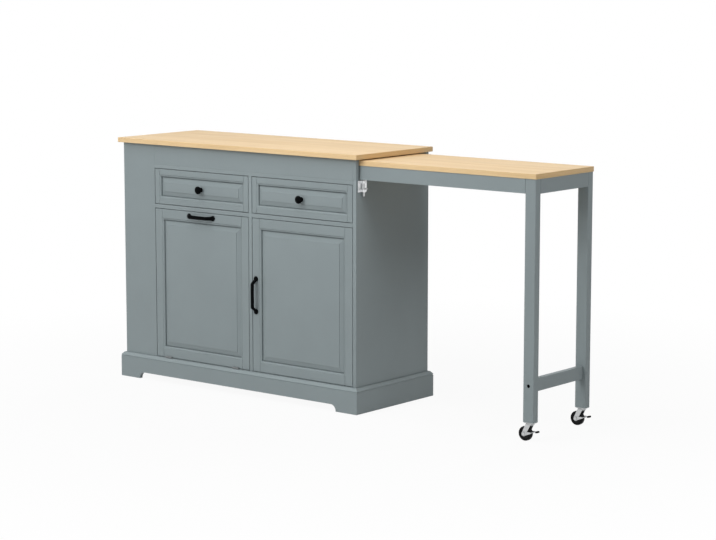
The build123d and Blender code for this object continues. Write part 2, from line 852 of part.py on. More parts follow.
with BuildPart() as bay_guides:
    guide_front = apron_back + guide_clearance
    guide_span_y = (guide_front, guide_front + guide_width)
    fill_spans(bay_span_x, guide_span_y, (bay_floor_top, bay_floor_top + guide_height))
    stop_left = table_left + inner_rail_thickness
    stop_middle = (table_front + table_back) / 2
    fill_spans(
        (stop_left, stop_left + stop_length),
        (stop_middle - stop_width / 2, stop_middle + stop_width / 2),
        (bay_floor_top, bay_floor_top + stop_height),
    )
finish(bay_guides, "bay_guides")

# Latch on the right side: a plate with two straps, and a bolt that rises into the front apron
strap_reach = latch_bolt_offset + latch_bolt_radius + latch_strap_wall
strap_levels = (latch_bottom + latch_strap_height / 2, latch_top - latch_strap_height / 2)
with BuildPart() as latch_housing:
    fill_spans(
        (body_right, body_right + latch_plate),
        (latch_bolt_y - latch_width / 2, latch_bolt_y + latch_width / 2),
        (latch_bottom, latch_top),
    )
    for level in strap_levels:
        fill_spans(
            (body_right + latch_plate, body_right + strap_reach),
            (latch_bolt_y - latch_strap_width / 2, latch_bolt_y + latch_strap_width / 2),
            (level - latch_strap_height / 2, level + latch_strap_height / 2),
        )
    fillet(
        latch_housing.edges().filter_by(Axis.Z).group_by(Axis.X)[-1],
        radius=latch_strap_wall,
    )
    with Locations((latch_bolt_x, latch_bolt_y, latch_top)):
        Hole(latch_bolt_radius + running_clearance)
    for row_y in latch_screw_rows:
        for level in latch_screw_levels:
            with Locations(Plane(origin=(body_right + latch_plate, row_y, level), z_dir=(1, 0, 0))):
                Hole(latch_screw_radius + running_clearance, depth=latch_plate)
finish(latch_housing, "latch_housing")

with BuildPart() as latch_screws:
    for row_y in latch_screw_rows:
        for level in latch_screw_levels:
            seat_x = body_right + latch_plate
            with BuildSketch(Plane(origin=(seat_x, row_y, level), z_dir=(1, 0, 0))):
                Circle(latch_screw_head_radius)
            extrude(amount=latch_screw_head_height)
            with BuildSketch(Plane(origin=(seat_x, row_y, level), z_dir=(-1, 0, 0))):
                Circle(latch_screw_radius)
            extrude(amount=latch_screw_length)
finish(latch_screws, "latch_screws")

bolt_top = apron_bottom - latch_bolt_drop
bolt_bottom = latch_bottom - latch_bolt_tail
grip_level = latch_bottom + latch_strap_height + latch_grip_radius + bolt_clearance
with BuildPart() as latch_bolt:
    with BuildSketch(Plane(origin=(latch_bolt_x, latch_bolt_y, bolt_bottom))):
        Circle(latch_bolt_radius)
    extrude(amount=bolt_top - bolt_bottom)
    with BuildSketch(Plane(origin=(latch_bolt_x, latch_bolt_y, grip_level), z_dir=(1, 0, 0))):
        Circle(latch_grip_radius)
    extrude(amount=latch_bolt_radius + latch_grip_length)
finish(latch_bolt, "latch_bolt")

# Swivel casters with a brake lever, one under each leg
fork_inner = wheel_width / 2 + fork_side_gap
fork_outer = fork_inner + fork_steel
brake_inner = fork_outer + brake_side_gap
brake_outer = brake_inner + brake_steel
axle_x = leg_centre_x - wheel_trail
axle_z = wheel_radius

with BuildPart() as caster_plates:
    for axis_y in leg_centres_y:
        with Locations((leg_centre_x, axis_y, caster_height - caster_plate_thickness / 2)):
            Box(caster_plate_length, caster_plate_width, caster_plate_thickness)
        with BuildSketch(Plane(origin=(leg_centre_x, axis_y, plate_bottom), z_dir=(0, 0, -1))):
            Circle(kingpin_radius)
        extrude(amount=2 * swivel_gap + swivel_height)
        with BuildSketch(Plane(origin=(leg_centre_x, axis_y, crown_bottom - swivel_gap), z_dir=(0, 0, -1))):
            Circle(kingpin_head_radius)
        extrude(amount=kingpin_head_height)
finish(caster_plates, "caster_plates")


def caster_fork(axis_y):
    """Build a fork: a round crown on the kingpin and two arms down to the axle."""
    crown_middle = leg_centre_x + (fork_crown_front - fork_crown_back) / 2
    with BuildPart() as fork:
        with BuildSketch(Plane(origin=(leg_centre_x, axis_y, crown_bottom))):
            Circle(swivel_radius)
        extrude(amount=swivel_height)
        for start_y in (axis_y + fork_inner, axis_y - fork_outer):
            with BuildSketch(Plane.XZ.offset(-start_y)):
                with Locations((axle_x, axle_z)):
                    Circle(fork_end_radius)
                with Locations((crown_middle, fork_top - swivel_height / 2)):
                    Rectangle(fork_crown_front + fork_crown_back, swivel_height - 2 * edge_ease)
                make_hull()
            extrude(amount=-fork_steel)
        with Locations((leg_centre_x, axis_y, fork_top)):
            Hole(kingpin_radius + running_clearance)
        with Locations(Plane(origin=(axle_x, axis_y - fork_outer, axle_z), z_dir=(0, -1, 0))):
            Hole(axle_radius + running_clearance)
    return fork


def caster_axle(axis_y):
    """Build an axle with a flat round head at each end, outside the brake lever's cheeks."""
    span = brake_outer + brake_side_gap
    with BuildPart() as axle:
        with BuildSketch(Plane.XZ.offset(-(axis_y - span))):
            with Locations((axle_x, axle_z)):
                Circle(axle_radius)
        extrude(amount=-2 * span)
        for start_y in (axis_y - span - axle_head_height, axis_y + span):
            with BuildSketch(Plane.XZ.offset(-start_y)):
                with Locations((axle_x, axle_z)):
                    Circle(axle_head_radius)
            extrude(amount=-axle_head_height)
    return axle


def caster_wheel(axis_y):
    """Build a wheel with a rounded tread, dished sides and a plain bore."""
    with BuildPart() as wheel:
        with BuildSketch(Plane.XZ.offset(-(axis_y - wheel_width / 2))):
            with Locations((axle_x, axle_z)):
                Circle(wheel_radius)
        extrude(amount=-wheel_width)
        fillet(wheel.edges(), radius=wheel_edge_radius)
        for start_y, depth in ((axis_y - wheel_width / 2, -wheel_dish_depth),
                               (axis_y + wheel_width / 2, wheel_dish_depth)):
            with BuildSketch(Plane.XZ.offset(-start_y)):
                with Locations((axle_x, axle_z)):
                    Circle(wheel_dish_radius)
                    Circle(axle_head_radius + fork_steel, mode=Mode.SUBTRACT)
            extrude(amount=depth, mode=Mode.SUBTRACT)
        with Locations(Plane(origin=(axle_x, axis_y, axle_z), z_dir=(0, -1, 0))):
            Hole(axle_radius + running_clearance)
    return wheel


def caster_brake(axis_y):
    """Build a brake lever: two cheeks on the axle, a bridge past the tread, a tongue and a foot pad."""
    lift = math.radians(brake_lift)
    along = Vector(math.cos(lift), 0, math.sin(lift))
    hub = Vector(axle_x, axis_y, axle_z)
    corner = brake_steel
    pad_reach = wheel_trail + brake_reach - corner - (brake_pad_height / 2 - corner) * math.sin(lift)
    pad_end = pad_reach / math.cos(lift) + corner
    bridge_start = wheel_radius + brake_wheel_gap
    lever_plane = Plane(origin=hub, x_dir=along, z_dir=(0, -1, 0))
    with BuildPart() as brake:
        for start in (brake_inner, -brake_outer):
            with BuildSketch(lever_plane.offset(start)):
                Circle(brake_end_radius)
                with Locations((bridge_start + brake_bridge - brake_arm_radius, 0)):
                    Circle(brake_arm_radius)
                make_hull()
            extrude(amount=brake_steel)
        with BuildSketch(lever_plane.offset(-brake_outer)):
            with Locations((bridge_start + brake_bridge / 2, 0)):
                Rectangle(brake_bridge, 2 * brake_steel)
        extrude(amount=2 * brake_outer)
        with BuildSketch(lever_plane.offset(-brake_tongue_width / 2)):
            with Locations(((bridge_start + pad_end) / 2, 0)):
                Rectangle(pad_end - bridge_start, 2 * brake_steel)
        extrude(amount=brake_tongue_width)
        with BuildSketch(lever_plane.offset(-brake_pad_width / 2)):
            with Locations((pad_end - brake_pad_length / 2, 0)):
                RectangleRounded(brake_pad_length, brake_pad_height, corner)
        extrude(amount=brake_pad_width)
        with Locations(lever_plane):
            Hole(axle_radius + running_clearance)
    return brake


for name, axis_y in zip(leg_faces, leg_centres_y):
    finish(caster_fork(axis_y), f"{name}_caster_fork")
    finish(caster_axle(axis_y), f"{name}_caster_axle")
    finish(caster_wheel(axis_y), f"{name}_caster_wheel")
    finish(caster_brake(axis_y), f"{name}_caster_brake")
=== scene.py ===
"""Grey kitchen island with a pull-out table on casters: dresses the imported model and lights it."""
from __future__ import annotations

import logging
import math
from collections.abc import Sequence
from dataclasses import dataclass, field, replace
from enum import Enum

import bpy
import numpy as np
import numpy.typing as npt
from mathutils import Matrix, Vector


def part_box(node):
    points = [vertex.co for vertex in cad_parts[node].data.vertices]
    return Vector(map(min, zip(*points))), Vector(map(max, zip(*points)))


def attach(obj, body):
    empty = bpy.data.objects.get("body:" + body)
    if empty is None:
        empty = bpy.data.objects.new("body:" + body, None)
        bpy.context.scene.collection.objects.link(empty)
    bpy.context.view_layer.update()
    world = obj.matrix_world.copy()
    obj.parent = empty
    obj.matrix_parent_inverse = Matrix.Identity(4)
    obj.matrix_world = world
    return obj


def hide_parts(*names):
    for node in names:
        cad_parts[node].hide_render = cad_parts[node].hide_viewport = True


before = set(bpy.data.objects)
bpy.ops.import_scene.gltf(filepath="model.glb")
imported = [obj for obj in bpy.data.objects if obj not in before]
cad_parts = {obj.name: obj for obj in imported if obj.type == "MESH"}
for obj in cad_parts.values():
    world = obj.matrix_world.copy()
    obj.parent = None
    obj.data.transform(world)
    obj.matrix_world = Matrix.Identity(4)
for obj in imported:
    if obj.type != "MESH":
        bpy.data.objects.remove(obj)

LOG = logging.getLogger("kitchen_island")
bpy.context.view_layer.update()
Array = npt.NDArray[np.float64]
Places = npt.NDArray[np.int64]
Pair = tuple[float, float]
Rows = tuple[Pair, ...]
Colour = tuple[float, float, float]
Socket = bpy.types.NodeSocket
Value = float | int | tuple[float, ...] | Socket
Sockets = dict[str | int, Value]

# A millimetre in the frame's metres, and the distance below which two points are one
MM = 0.001
WELD = 0.0001 * MM
# Radius, in millimetres, where a turned profile meets its axis
TIP = 0.01
# Points of a rounded rim, a quarter arc, a panel's curve and each stretch of a smooth profile
RIM_POINTS = 4
ARC_POINTS = 10
CURVE_POINTS = 8
STRETCH_POINTS = 4
# Points along a bow handle, from a dome's rim to its middle, and along a strap's bend and its straight runs
BOW_POINTS = 72
DOME_POINTS = 9
BEND_POINTS = 25
RUN_POINTS = 5
# Angle in degrees past which an edge stays sharp
CREASE = 32.0
# A direction with more than this along X needs another helper to find one square to it
NEARLY_X = 0.9


# Named options


class Axis(Enum):
    """The three directions of the shared frame, used for grain and for turned pieces."""

    X = (1.0, 0.0, 0.0)
    Y = (0.0, 1.0, 0.0)
    Z = (0.0, 0.0, 1.0)

    @property
    def vector(self) -> Array:
        """The direction as an array."""
        return np.array(self.value)


class RecordSlot(Enum):
    """The record's material slots, which the finishes belong to."""

    PAINT = "paint_grey"
    OAK = "oak"
    IRON = "black_iron"
    ZINC = "zinc_steel"
    BOARD = "inner_board"
    NYLON = "glide_plastic"
    RUBBER = "wheel_rubber"


class Hand(Enum):
    """The two drawers, by their side of the front."""

    LEFT = "left"
    RIGHT = "right"


class Leg(Enum):
    """The table's two legs, each on a caster."""

    FRONT = "front"
    REAR = "rear"


class Sum(Enum):
    """The sums that the shaders do."""

    ADD = "ADD"
    SUBTRACT = "SUBTRACT"
    MULTIPLY = "MULTIPLY"
    POWER = "POWER"
    PINGPONG = "PINGPONG"
    MAXIMUM = "MAXIMUM"


# Shapes: every surface is a stack of closed rings


@dataclass
class Surface:
    """Rings of points joined into a skin.

    Attributes:
        rings: Points by station, then round the ring, then x, y and z.
        looped: Whether the last ring joins the first, instead of both ends being capped.
        slot: The material slot of its faces.
        edge_crest: How exposed each point is, from 0 on flats to 1 on the crest of an edge, where coats paint
            wear and a highlight.
        normals: Outward direction at each point, with zeros where the mesh's own normal is to be used.
        mitred: Whether the lines from ring to ring are mitres, which stay sharp.
    """

    rings: Array
    looped: bool = False
    slot: int = 0
    edge_crest: Array = field(default_factory=lambda: np.zeros(0))
    normals: Array = field(default_factory=lambda: np.zeros(0))
    mitred: bool = False

    def __post_init__(self) -> None:
        """Fill in no crest and no set normals where none are given."""
        self.edge_crest = self.edge_crest if self.edge_crest.size else np.zeros(self.rings.shape[:2])
        self.normals = self.normals if self.normals.size else np.zeros(self.rings.shape)

    def faces(self) -> list[list[int]]:
        """Join neighbouring rings with quads, cap open ends, and turn all faces outwards.

        They face outwards if the sum of a . (b x c) over all triangles, six times the volume, is positive.

        Returns:
            Lists of point indices, counted from this surface's first point.
        """
        stations, around = self.rings.shape[:2]
        spans = stations if self.looped else stations - 1
        low = np.arange(spans)[:, None] * around
        high = (np.arange(1, spans + 1) % stations)[:, None] * around
        near = np.arange(around)[None, :]
        far = (near + 1) % around
        quads = np.stack([low + near, low + far, high + far, high + near], -1).reshape(-1, 4)
        points = self.rings.reshape(-1, 3) - self.rings.reshape(-1, 3).mean(0)
        a, b, c, d = (points[quads[:, k]] for k in range(4))
        volume = np.einsum("ij,ij->", a, np.cross(b, c)) + np.einsum("ij,ij->", a, np.cross(c, d))
        faces = quads.tolist()
        if not self.looped:
            for ring, sign in ((points[:around], -1.0), (points[-around:], 1.0)):
                fan = np.cross(ring, np.roll(ring, -1, 0))
                volume += sign * np.einsum("ij,j->", fan, ring.mean(0))
            first = list(range(around))
            last = list(range((stations - 1) * around, stations * around))
            faces += [first[::-1], last]
        return [face[::-1] for face in faces] if volume < 0 else faces

    def placed(self, origin: Array, x: Array, y: Array, z: Array) -> Surface:
        """Carry the surface from its own axes into the shared frame, given where these and their zero go."""
        turn = np.stack([x, y, z])
        return replace(self, rings=origin + self.rings @ turn, normals=self.normals @ turn)


def unit(vector: Array) -> Array:
    """Scale vectors to length one, along the last axis."""
    return vector / np.linalg.norm(vector, axis=-1, keepdims=True)


def across(axis: Array) -> tuple[Array, Array]:
    """Find two directions square to an axis and to each other.

    Args:
        axis: A unit vector.

    Returns:
        Two unit vectors that turn right-handed about the axis.
    """
    helper = Axis.X if abs(axis[0]) < NEARLY_X else Axis.Y
    u = unit(np.cross(helper.vector, axis))
    return u, np.cross(axis, u)


def round_angles(around: int) -> Array:
    """The angles of evenly spaced points round a circle."""
    return np.arange(around) * 2 * np.pi / around


def spokes(axis: Array, around: int) -> Array:
    """Find evenly spaced directions round an axis: cos a times one square to it, plus sin a times the next.

    Args:
        axis: A unit vector.
        around: How many directions.

    Returns:
        One unit vector a row.
    """
    u, v = across(axis)
    angle = round_angles(around)
    return np.cos(angle)[:, None] * u + np.sin(angle)[:, None] * v


def node_box(node: str) -> tuple[Array, Array]:
    """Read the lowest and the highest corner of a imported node, in metres."""
    low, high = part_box(node)
    return np.array(low), np.array(high)


def rear_middle(low: Array, high: Array) -> Array:
    """The middle of a box's rear face, where a handle or knob meets its door or drawer."""
    return np.array([(low[0] + high[0]) / 2, high[1], (low[2] + high[2]) / 2])


def flowing(points: Rows, samples: int = STRETCH_POINTS) -> Array:
    """Draw a smooth curve through points.

    It is made of Catmull-Rom cubics, whose slope at a point is half the step between its two neighbours.

    Args:
        points: The points that the curve passes through.
        samples: Points on each stretch between two of them.

    Returns:
        The curve as x, y rows.
    """
    knots = np.array(points, float)
    padded = np.vstack([2 * knots[0] - knots[1], knots, 2 * knots[-1] - knots[-2]])
    p0, p1, p2, p3 = (padded[k:len(knots) - 1 + k, None, :] for k in range(4))
    t = np.linspace(0.0, 1.0, samples, endpoint=False)[None, :, None]
    curve = p1 + 0.5 * t * (p2 - p0 + t * (2 * p0 - 5 * p1 + 4 * p2 - p3 + t * (3 * (p1 - p2) + p3 - p0)))
    return np.vstack([curve.reshape(-1, 2), knots[-1:]])


def held_profile(curve: Array, radius: float, tall: float) -> Array:
    """Hold a turned profile between its axis and a radius, and between its foot and a height."""
    return np.clip(curve, [TIP * MM, 0.0], [radius, tall])


def both_sides(side: Array) -> Array:
    """Close a profile round a bore: one side's rows, then the same with their heights turned over."""
    return np.vstack([side, (side * [1, -1])[::-1]])


def hull_outline(circles: Sequence[tuple[float, float, float]], samples: int) -> Array:
    """Draw the taut string round circles: in each direction, the farthest point of any circle.

    Args:
        circles: Centre x, centre y and radius of each circle.
        samples: Points round the outline.

    Returns:
        The outline as x, y rows, counter-clockwise.
    """
    rounds = np.array(circles, float)
    angle = (np.arange(samples) + 0.5) * 2 * np.pi / samples
    out = np.stack([np.cos(angle), np.sin(angle)], -1)
    best = (out @ rounds[:, :2].T + rounds[:, 2]).argmax(1)
    return rounds[best, :2] + rounds[best, 2:] * out


def rectangle_outline(low: Array, high: Array, radius: float, samples: int) -> Array:
    """Draw a rectangle with round corners, as the hull of its four corner circles."""
    xs, ys = (low[0] + radius, high[0] - radius), (low[1] + radius, high[1] - radius)
    return hull_outline([(x, y, radius) for x in xs for y in ys], samples)


def lifted(flat: Array, third: Array) -> Array:
    """Give rings of x, y points a third coordinate, the same all round a ring."""
    return np.concatenate([flat, np.broadcast_to(third[:, None, None], flat.shape[:2] + (1,))], -1)


def plate(outline: Array, thickness: float, edge: float, slot: int = 0) -> Surface:
    """Cut a flat plate with rounded rims, and mark the crests of its edges and corners for the lightening
    that stands for wear and a painted highlight.

    The rings are the outline moved inwards by edge * (1 - sin a) at the height edge * (1 - cos a), with a
    going through a quarter turn at the bottom rim, and the same mirrored at the top rim.

    Args:
        outline: The plate's outline as x, y rows, counter-clockwise.
        thickness: Its thickness along z.
        edge: Radius of its rims.
        slot: Material slot.

    Returns:
        The plate, with its bottom at z = 0.
    """
    ahead = unit(np.roll(outline, -1, 0) - outline)
    tangent = ahead + np.roll(ahead, 1, 0)
    normal = unit(np.stack([tangent[:, 1], -tangent[:, 0]], -1))
    quarter = np.linspace(0.0, np.pi / 2, RIM_POINTS)
    angle = np.concatenate([quarter, quarter[::-1]])
    rise = edge * (1 - np.cos(quarter))
    height = np.concatenate([rise, thickness - rise[::-1]])
    lean = np.concatenate([-np.cos(quarter), np.cos(quarter)[::-1]])
    inset = edge * (1 - np.sin(angle))
    facing = np.sin(angle)
    corner = np.abs(2 * normal[:, 0] * normal[:, 1])
    return Surface(
        lifted(outline[None] - inset[:, None, None] * normal[None], height),
        slot=slot,
        edge_crest=np.maximum(np.sin(2 * angle)[:, None], corner[None, :] * facing[:, None]),
        normals=lifted(facing[:, None, None] * normal[None], lean),
    )


def board(low: Array, high: Array, ease: float, slot: int = 0) -> Surface:
    """Make a straight board with eased edges: a plate whose thickness lies along its thinnest direction.

    Args:
        low: Lowest corner.
        high: Highest corner.
        ease: Radius of every edge.
        slot: Material slot.

    Returns:
        The board in the shared frame.
    """
    thin = int(np.argmin(high - low))
    u, v = (thin + 1) % 3, (thin + 2) % 3
    outline = rectangle_outline(low[[u, v]], high[[u, v]], ease, samples=24)
    sheet = plate(outline, float(high[thin] - low[thin]), ease, slot)
    axes = np.eye(3)
    return sheet.placed(axes[thin] * low[thin], axes[u], axes[v], axes[thin])


def turned(
    profile: Array, origin: Array, axis: Array, around: int, slot: int = 0, bored: bool = False
) -> Surface:
    """Turn a profile about an axis: ring k is the circle of radius r(k) at the height h(k).

    Args:
        profile: Radius and height rows.
        origin: The profile's zero height on the axis.
        axis: Direction of the axis.
        around: Points round each ring.
        slot: Material slot.
        bored: Whether the profile closes on itself round a bore.

    Returns:
        The turned surface.
    """
    rings = origin + profile[:, :1, None] * spokes(axis, around) + profile[:, 1:, None] * axis
    return Surface(rings, looped=bored, slot=slot)


def swept(path: Array, side: Array, halves: Array, power: float, around: int) -> Surface:
    """Carry a superellipse along a flat path: |a|^power + |b|^power = 1, scaled by the two half widths.

    Args:
        path: Points of the path.
        side: The direction square to the path's plane.
        halves: Half width along side and half thickness in the plane, at each point.
        power: 2 for an ellipse, higher for a squarer section.
        around: Points round the section.

    Returns:
        The swept bar, capped at both ends.
    """
    out = np.cross(unit(np.gradient(path, axis=0)), side)
    angle = round_angles(around)
    a, b = (np.sign(wave) * np.abs(wave) ** (2 / power) for wave in (np.cos(angle), np.sin(angle)))
    wide = halves[:, :1, None] * a[None, :, None] * side
    thick = halves[:, 1:, None] * b[None, :, None] * out[:, None, :]
    return Surface(path[:, None, :] + wide + thick)


# Pieces: surfaces put into meshes and fitted to the model


def welded(surface: Surface) -> tuple[Places, list[Places]]:
    """Join the points of a surface that coincide, and drop the faces that shrink to a line.

    Args:
        surface: The surface.

    Returns:
        Which of its points are kept, and its faces as places among those.
    """
    cells = np.round(surface.rings.reshape(-1, 3) / WELD).astype(np.int64)
    _, kept, same = np.unique(cells, axis=0, return_index=True, return_inverse=True)
    loops = [same.reshape(-1)[face] for face in surface.faces()]
    loops = [loop[loop != np.roll(loop, 1)] for loop in loops]
    return kept, [loop for loop in loops if len(loop) > 2]


def sharpen(mesh: bpy.types.Mesh, crease: float, levels: Places) -> None:
    """Keep an edge sharp where its faces meet past an angle, and where it is a mitre between two levels.

    Args:
        mesh: The mesh.
        crease: The angle, in degrees.
        levels: The ring that each point of a mitred surface is on, and 0 for other points.
    """
    mesh.set_sharp_from_angle(angle=math.radians(crease))
    ends = np.zeros(2 * len(mesh.edges), np.int32)
    mesh.edges.foreach_get("vertices", ends)
    sharp = np.zeros(len(mesh.edges), bool)
    mesh.edges.foreach_get("use_edge_sharp", sharp)
    first, second = levels[ends.reshape(-1, 2)].T
    mesh.edges.foreach_set("use_edge_sharp", sharp | (first != second))


def make_piece(
    name: str, surfaces: Sequence[Surface], finishes: Sequence[Finish], crease: float = CREASE
) -> bpy.types.Object:
    """Put surfaces into one mesh object, with one material slot for each finish.

    Args:
        name: The object's name.
        surfaces: What it is made of, in the shared frame.
        finishes: Its finishes, by material slot.
        crease: Angle in degrees past which an edge stays sharp.

    Returns:
        The new object, linked to the scene.
    """
    points: list[Array] = []
    edge_crest: list[Array] = []
    normals: list[Array] = []
    levels: list[Places] = []
    faces: list[list[int]] = []
    slots: list[int] = []
    start = 0
    for surface in surfaces:
        kept, loops = welded(surface)
        faces += [(loop + start).tolist() for loop in loops]
        slots += [surface.slot] * len(loops)
        points.append(surface.rings.reshape(-1, 3)[kept])
        edge_crest.append(surface.edge_crest.reshape(-1)[kept])
        normals.append(surface.normals.reshape(-1, 3)[kept])
        levels.append((kept // surface.rings.shape[1] + 1) * surface.mitred)
        start += len(kept)
    mesh = bpy.data.meshes.new(name)
    mesh.from_pydata(np.concatenate(points).tolist(), [], faces)
    mesh.polygons.foreach_set("material_index", slots)
    mesh.polygons.foreach_set("use_smooth", [True] * len(faces))
    # The crest mask, which the coats lighten as wear and as a painted highlight
    mesh.attributes.new("edge_crest", "FLOAT", "POINT").data.foreach_set("value", np.concatenate(edge_crest))
    sharpen(mesh, crease, np.concatenate(levels))
    corners = np.zeros(len(mesh.loops), np.int32)
    mesh.loops.foreach_get("vertex_index", corners)
    mesh.normals_split_custom_set(np.concatenate(normals)[corners])
    for finish in finishes:
        mesh.materials.append(finish.material())
    mesh.update()
    piece = bpy.data.objects.new(name, mesh)
    bpy.context.scene.collection.objects.link(piece)
    return piece


def fit_piece(piece: bpy.types.Object, body: str, *nodes: str) -> None:
    """Let a piece ride on a body and stand for CAD nodes.

    Args:
        piece: The new piece.
        body: The body that carries it.
        *nodes: CAD nodes that it stands for.
    """
    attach(piece, body)
    if nodes:
        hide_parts(*nodes)
    LOG.info("%s rides on %s and stands for %s", piece.name, body, ", ".join(nodes) or "no node")


def add_piece(
    name: str, surfaces: Sequence[Surface], finishes: Sequence[Finish], body: str, *nodes: str
) -> None:
    """Make a piece and fit it to its body and the CAD nodes that it stands for."""
    fit_piece(make_piece(name, surfaces, finishes), body, *nodes)


def dress_node(node: str, finish: Finish) -> None:
    """Give a CAD node that keeps its shape a finish.

    Args:
        node: The node's name.
        finish: Its finish.
    """
    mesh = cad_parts[node].data
    mesh.materials.clear()
    mesh.materials.append(finish.material())
    LOG.info("%s keeps its shape in %s", node, finish.name)


# Finishes


class Shader:
    """A node tree being written, with short calls to add and join nodes."""

    # Sockets of a Mix node set to colours: its factor, its two colours and its result
    FACTOR, FIRST, SECOND, MIXED = 0, 6, 7, 2

    def __init__(self, tree: bpy.types.NodeTree) -> None:
        """Start on a tree, which is emptied."""
        self.tree = tree
        self.tree.nodes.clear()

    def add(self, kind: str, sockets: Sockets | None = None, **settings: object) -> bpy.types.Node:
        """Add a node.

        Args:
            kind: The node's type name without its ShaderNode prefix, or a whole name that starts with Node.
            sockets: Inputs by name or number: a value, or the output that feeds it.
            **settings: Properties of the node.

        Returns:
            The node.
        """
        node = self.tree.nodes.new(kind if kind.startswith("Node") else "ShaderNode" + kind)
        for key, value in settings.items():
            setattr(node, key, value)
        self.feed(node, sockets or {})
        return node

    def feed(self, node: bpy.types.Node, sockets: Sockets) -> None:
        """Set the inputs of a node.

        Args:
            node: The node.
            sockets: Inputs by name or number: a value, or the output that feeds it.
        """
        for key, value in sockets.items():
            if isinstance(value, Socket):
                self.tree.links.new(value, node.inputs[key])
            else:
                node.inputs[key].default_value = value

    def mix(self, factor: Value, first: Value, second: Value) -> Socket:
        """Mix two colours by the share of the second."""
        sockets = {self.FACTOR: factor, self.FIRST: first, self.SECOND: second}
        return self.add("Mix", sockets, data_type="RGBA").outputs[self.MIXED]

    def span(self, value: Socket, given: Pair, wanted: Pair = (0.0, 1.0)) -> Socket:
        """Map a value from a given range to a wanted one, held to its ends."""
        ends = {"From Min": given[0], "From Max": given[1], "To Min": wanted[0], "To Max": wanted[1]}
        return self.add("MapRange", {"Value": value, **ends}).outputs[0]

    def calc(self, operation: Sum, first: Value, second: Value) -> Socket:
        """Do one sum with two values."""
        return self.add("Math", {0: first, 1: second}, operation=operation.value).outputs[0]

    def noise(self, vector: Socket, scale: Value, detail: float, roughness: float) -> Socket:
        """Add cloudy noise from 0 to 1, with scale in cells per metre and detail in octaves."""
        sockets = {"Vector": vector, "Scale": scale, "Detail": detail, "Roughness": roughness}
        return self.add("TexNoise", sockets).outputs[0]


def shared_group(
    name: str, inputs: dict[str, str], outputs: Sequence[str]
) -> tuple[Shader, bpy.types.Node, bpy.types.Node]:
    """Start a shader node group.

    Args:
        name: The group's name.
        inputs: The kind of each input, Vector or Float, by its name.
        outputs: Names of its outputs, which are values.

    Returns:
        Its shader, its input node and its output node.
    """
    tree = bpy.data.node_groups.new(name, "ShaderNodeTree")
    for label, kind in inputs.items():
        tree.interface.new_socket(name=label, in_out="INPUT", socket_type="NodeSocket" + kind)
    for label in outputs:
        tree.interface.new_socket(name=label, in_out="OUTPUT", socket_type="NodeSocketFloat")
    shader = Shader(tree)
    return shader, shader.add("NodeGroupInput"), shader.add("NodeGroupOutput")


def mottle_group() -> bpy.types.NodeTree:
    """Build, once, the group for even coats: broad clouds of tone, and a fine rolled or sprayed skin.

    Returns:
        The group, with Clouds and Skin outputs.
    """
    if found := bpy.data.node_groups.get("coat_mottle"):
        return found
    inputs = {"Vector": "Vector", "Cloud Scale": "Float", "Skin Scale": "Float"}
    shader, given, result = shared_group("coat_mottle", inputs, ("Clouds", "Skin"))
    place = given.outputs["Vector"]
    clouds = shader.noise(place, given.outputs["Cloud Scale"], detail=4.0, roughness=0.55)
    skin = shader.noise(place, given.outputs["Skin Scale"], detail=2.0, roughness=0.6)
    shader.feed(result, {"Clouds": shader.span(clouds, given=(0.3, 0.7)), "Skin": skin})
    return shader.tree


def wear_and_highlight_group() -> bpy.types.NodeTree:
    """Build, once, the group for lightened edges, which are partly wear and partly a painted highlight: the
    crests of edges, broken up by noise.

    Returns:
        The group, with a Wear And Highlight output.
    """
    if found := bpy.data.node_groups.get("worn_and_highlit_edges"):
        return found
    inputs = {"Vector": "Vector", "Break Scale": "Float"}
    shader, given, result = shared_group("worn_and_highlit_edges", inputs, ("Wear And Highlight",))
    crest = shader.add("Attribute", attribute_name="edge_crest").outputs["Fac"]
    patches = shader.noise(given.outputs["Vector"], given.outputs["Break Scale"], detail=5.0, roughness=0.65)
    breaks = shader.span(patches, given=(0.42, 0.62))
    # The crest mask, broken up, lightens edges as wear and as a painted highlight
    shader.feed(result, {"Wear And Highlight": shader.calc(Sum.MULTIPLY, crest, breaks)})
    return shader.tree


def grain_group() -> bpy.types.NodeTree:
    """Build, once, the group for wood: long streaks, growth lines as contours of slow noise, and short pores.

    Returns:
        The group, with Streaks, Growth and Pores outputs, for grain along its own x.
    """
    if found := bpy.data.node_groups.get("wood_grain"):
        return found
    inputs = {"Vector": "Vector", "Growth Lines": "Float"}
    shader, given, result = shared_group("wood_grain", inputs, ("Streaks", "Growth", "Pores"))

    def drawn_out(along: float, across_grain: float, detail: float, roughness: float) -> Socket:
        """Add noise that is drawn out along the grain.

        Args:
            along: Cells per metre along the grain.
            across_grain: Cells per metre across it.
            detail: Octaves.
            roughness: Weight of the finer octaves.

        Returns:
            The noise, from 0 to 1.
        """
        cells = {0: given.outputs["Vector"], 1: (along, across_grain, across_grain)}
        place = shader.add("VectorMath", cells, operation="MULTIPLY").outputs[0]
        return shader.noise(place, 1.0, detail, roughness)

    streaks = drawn_out(along=1.6, across_grain=42.0, detail=6.0, roughness=0.62)
    slow = drawn_out(along=0.75, across_grain=8.5, detail=3.0, roughness=0.45)
    pores = drawn_out(along=26.0, across_grain=900.0, detail=2.0, roughness=0.5)
    lines = shader.calc(Sum.PINGPONG, shader.calc(Sum.MULTIPLY, slow, given.outputs["Growth Lines"]), 1.0)
    line_sharpness = 2.2
    shader.feed(result, {
        "Streaks": shader.span(streaks, given=(0.28, 0.72)),
        "Growth": shader.calc(Sum.POWER, lines, line_sharpness),
        "Pores": shader.span(pores, given=(0.6, 0.72)),
    })
    return shader.tree


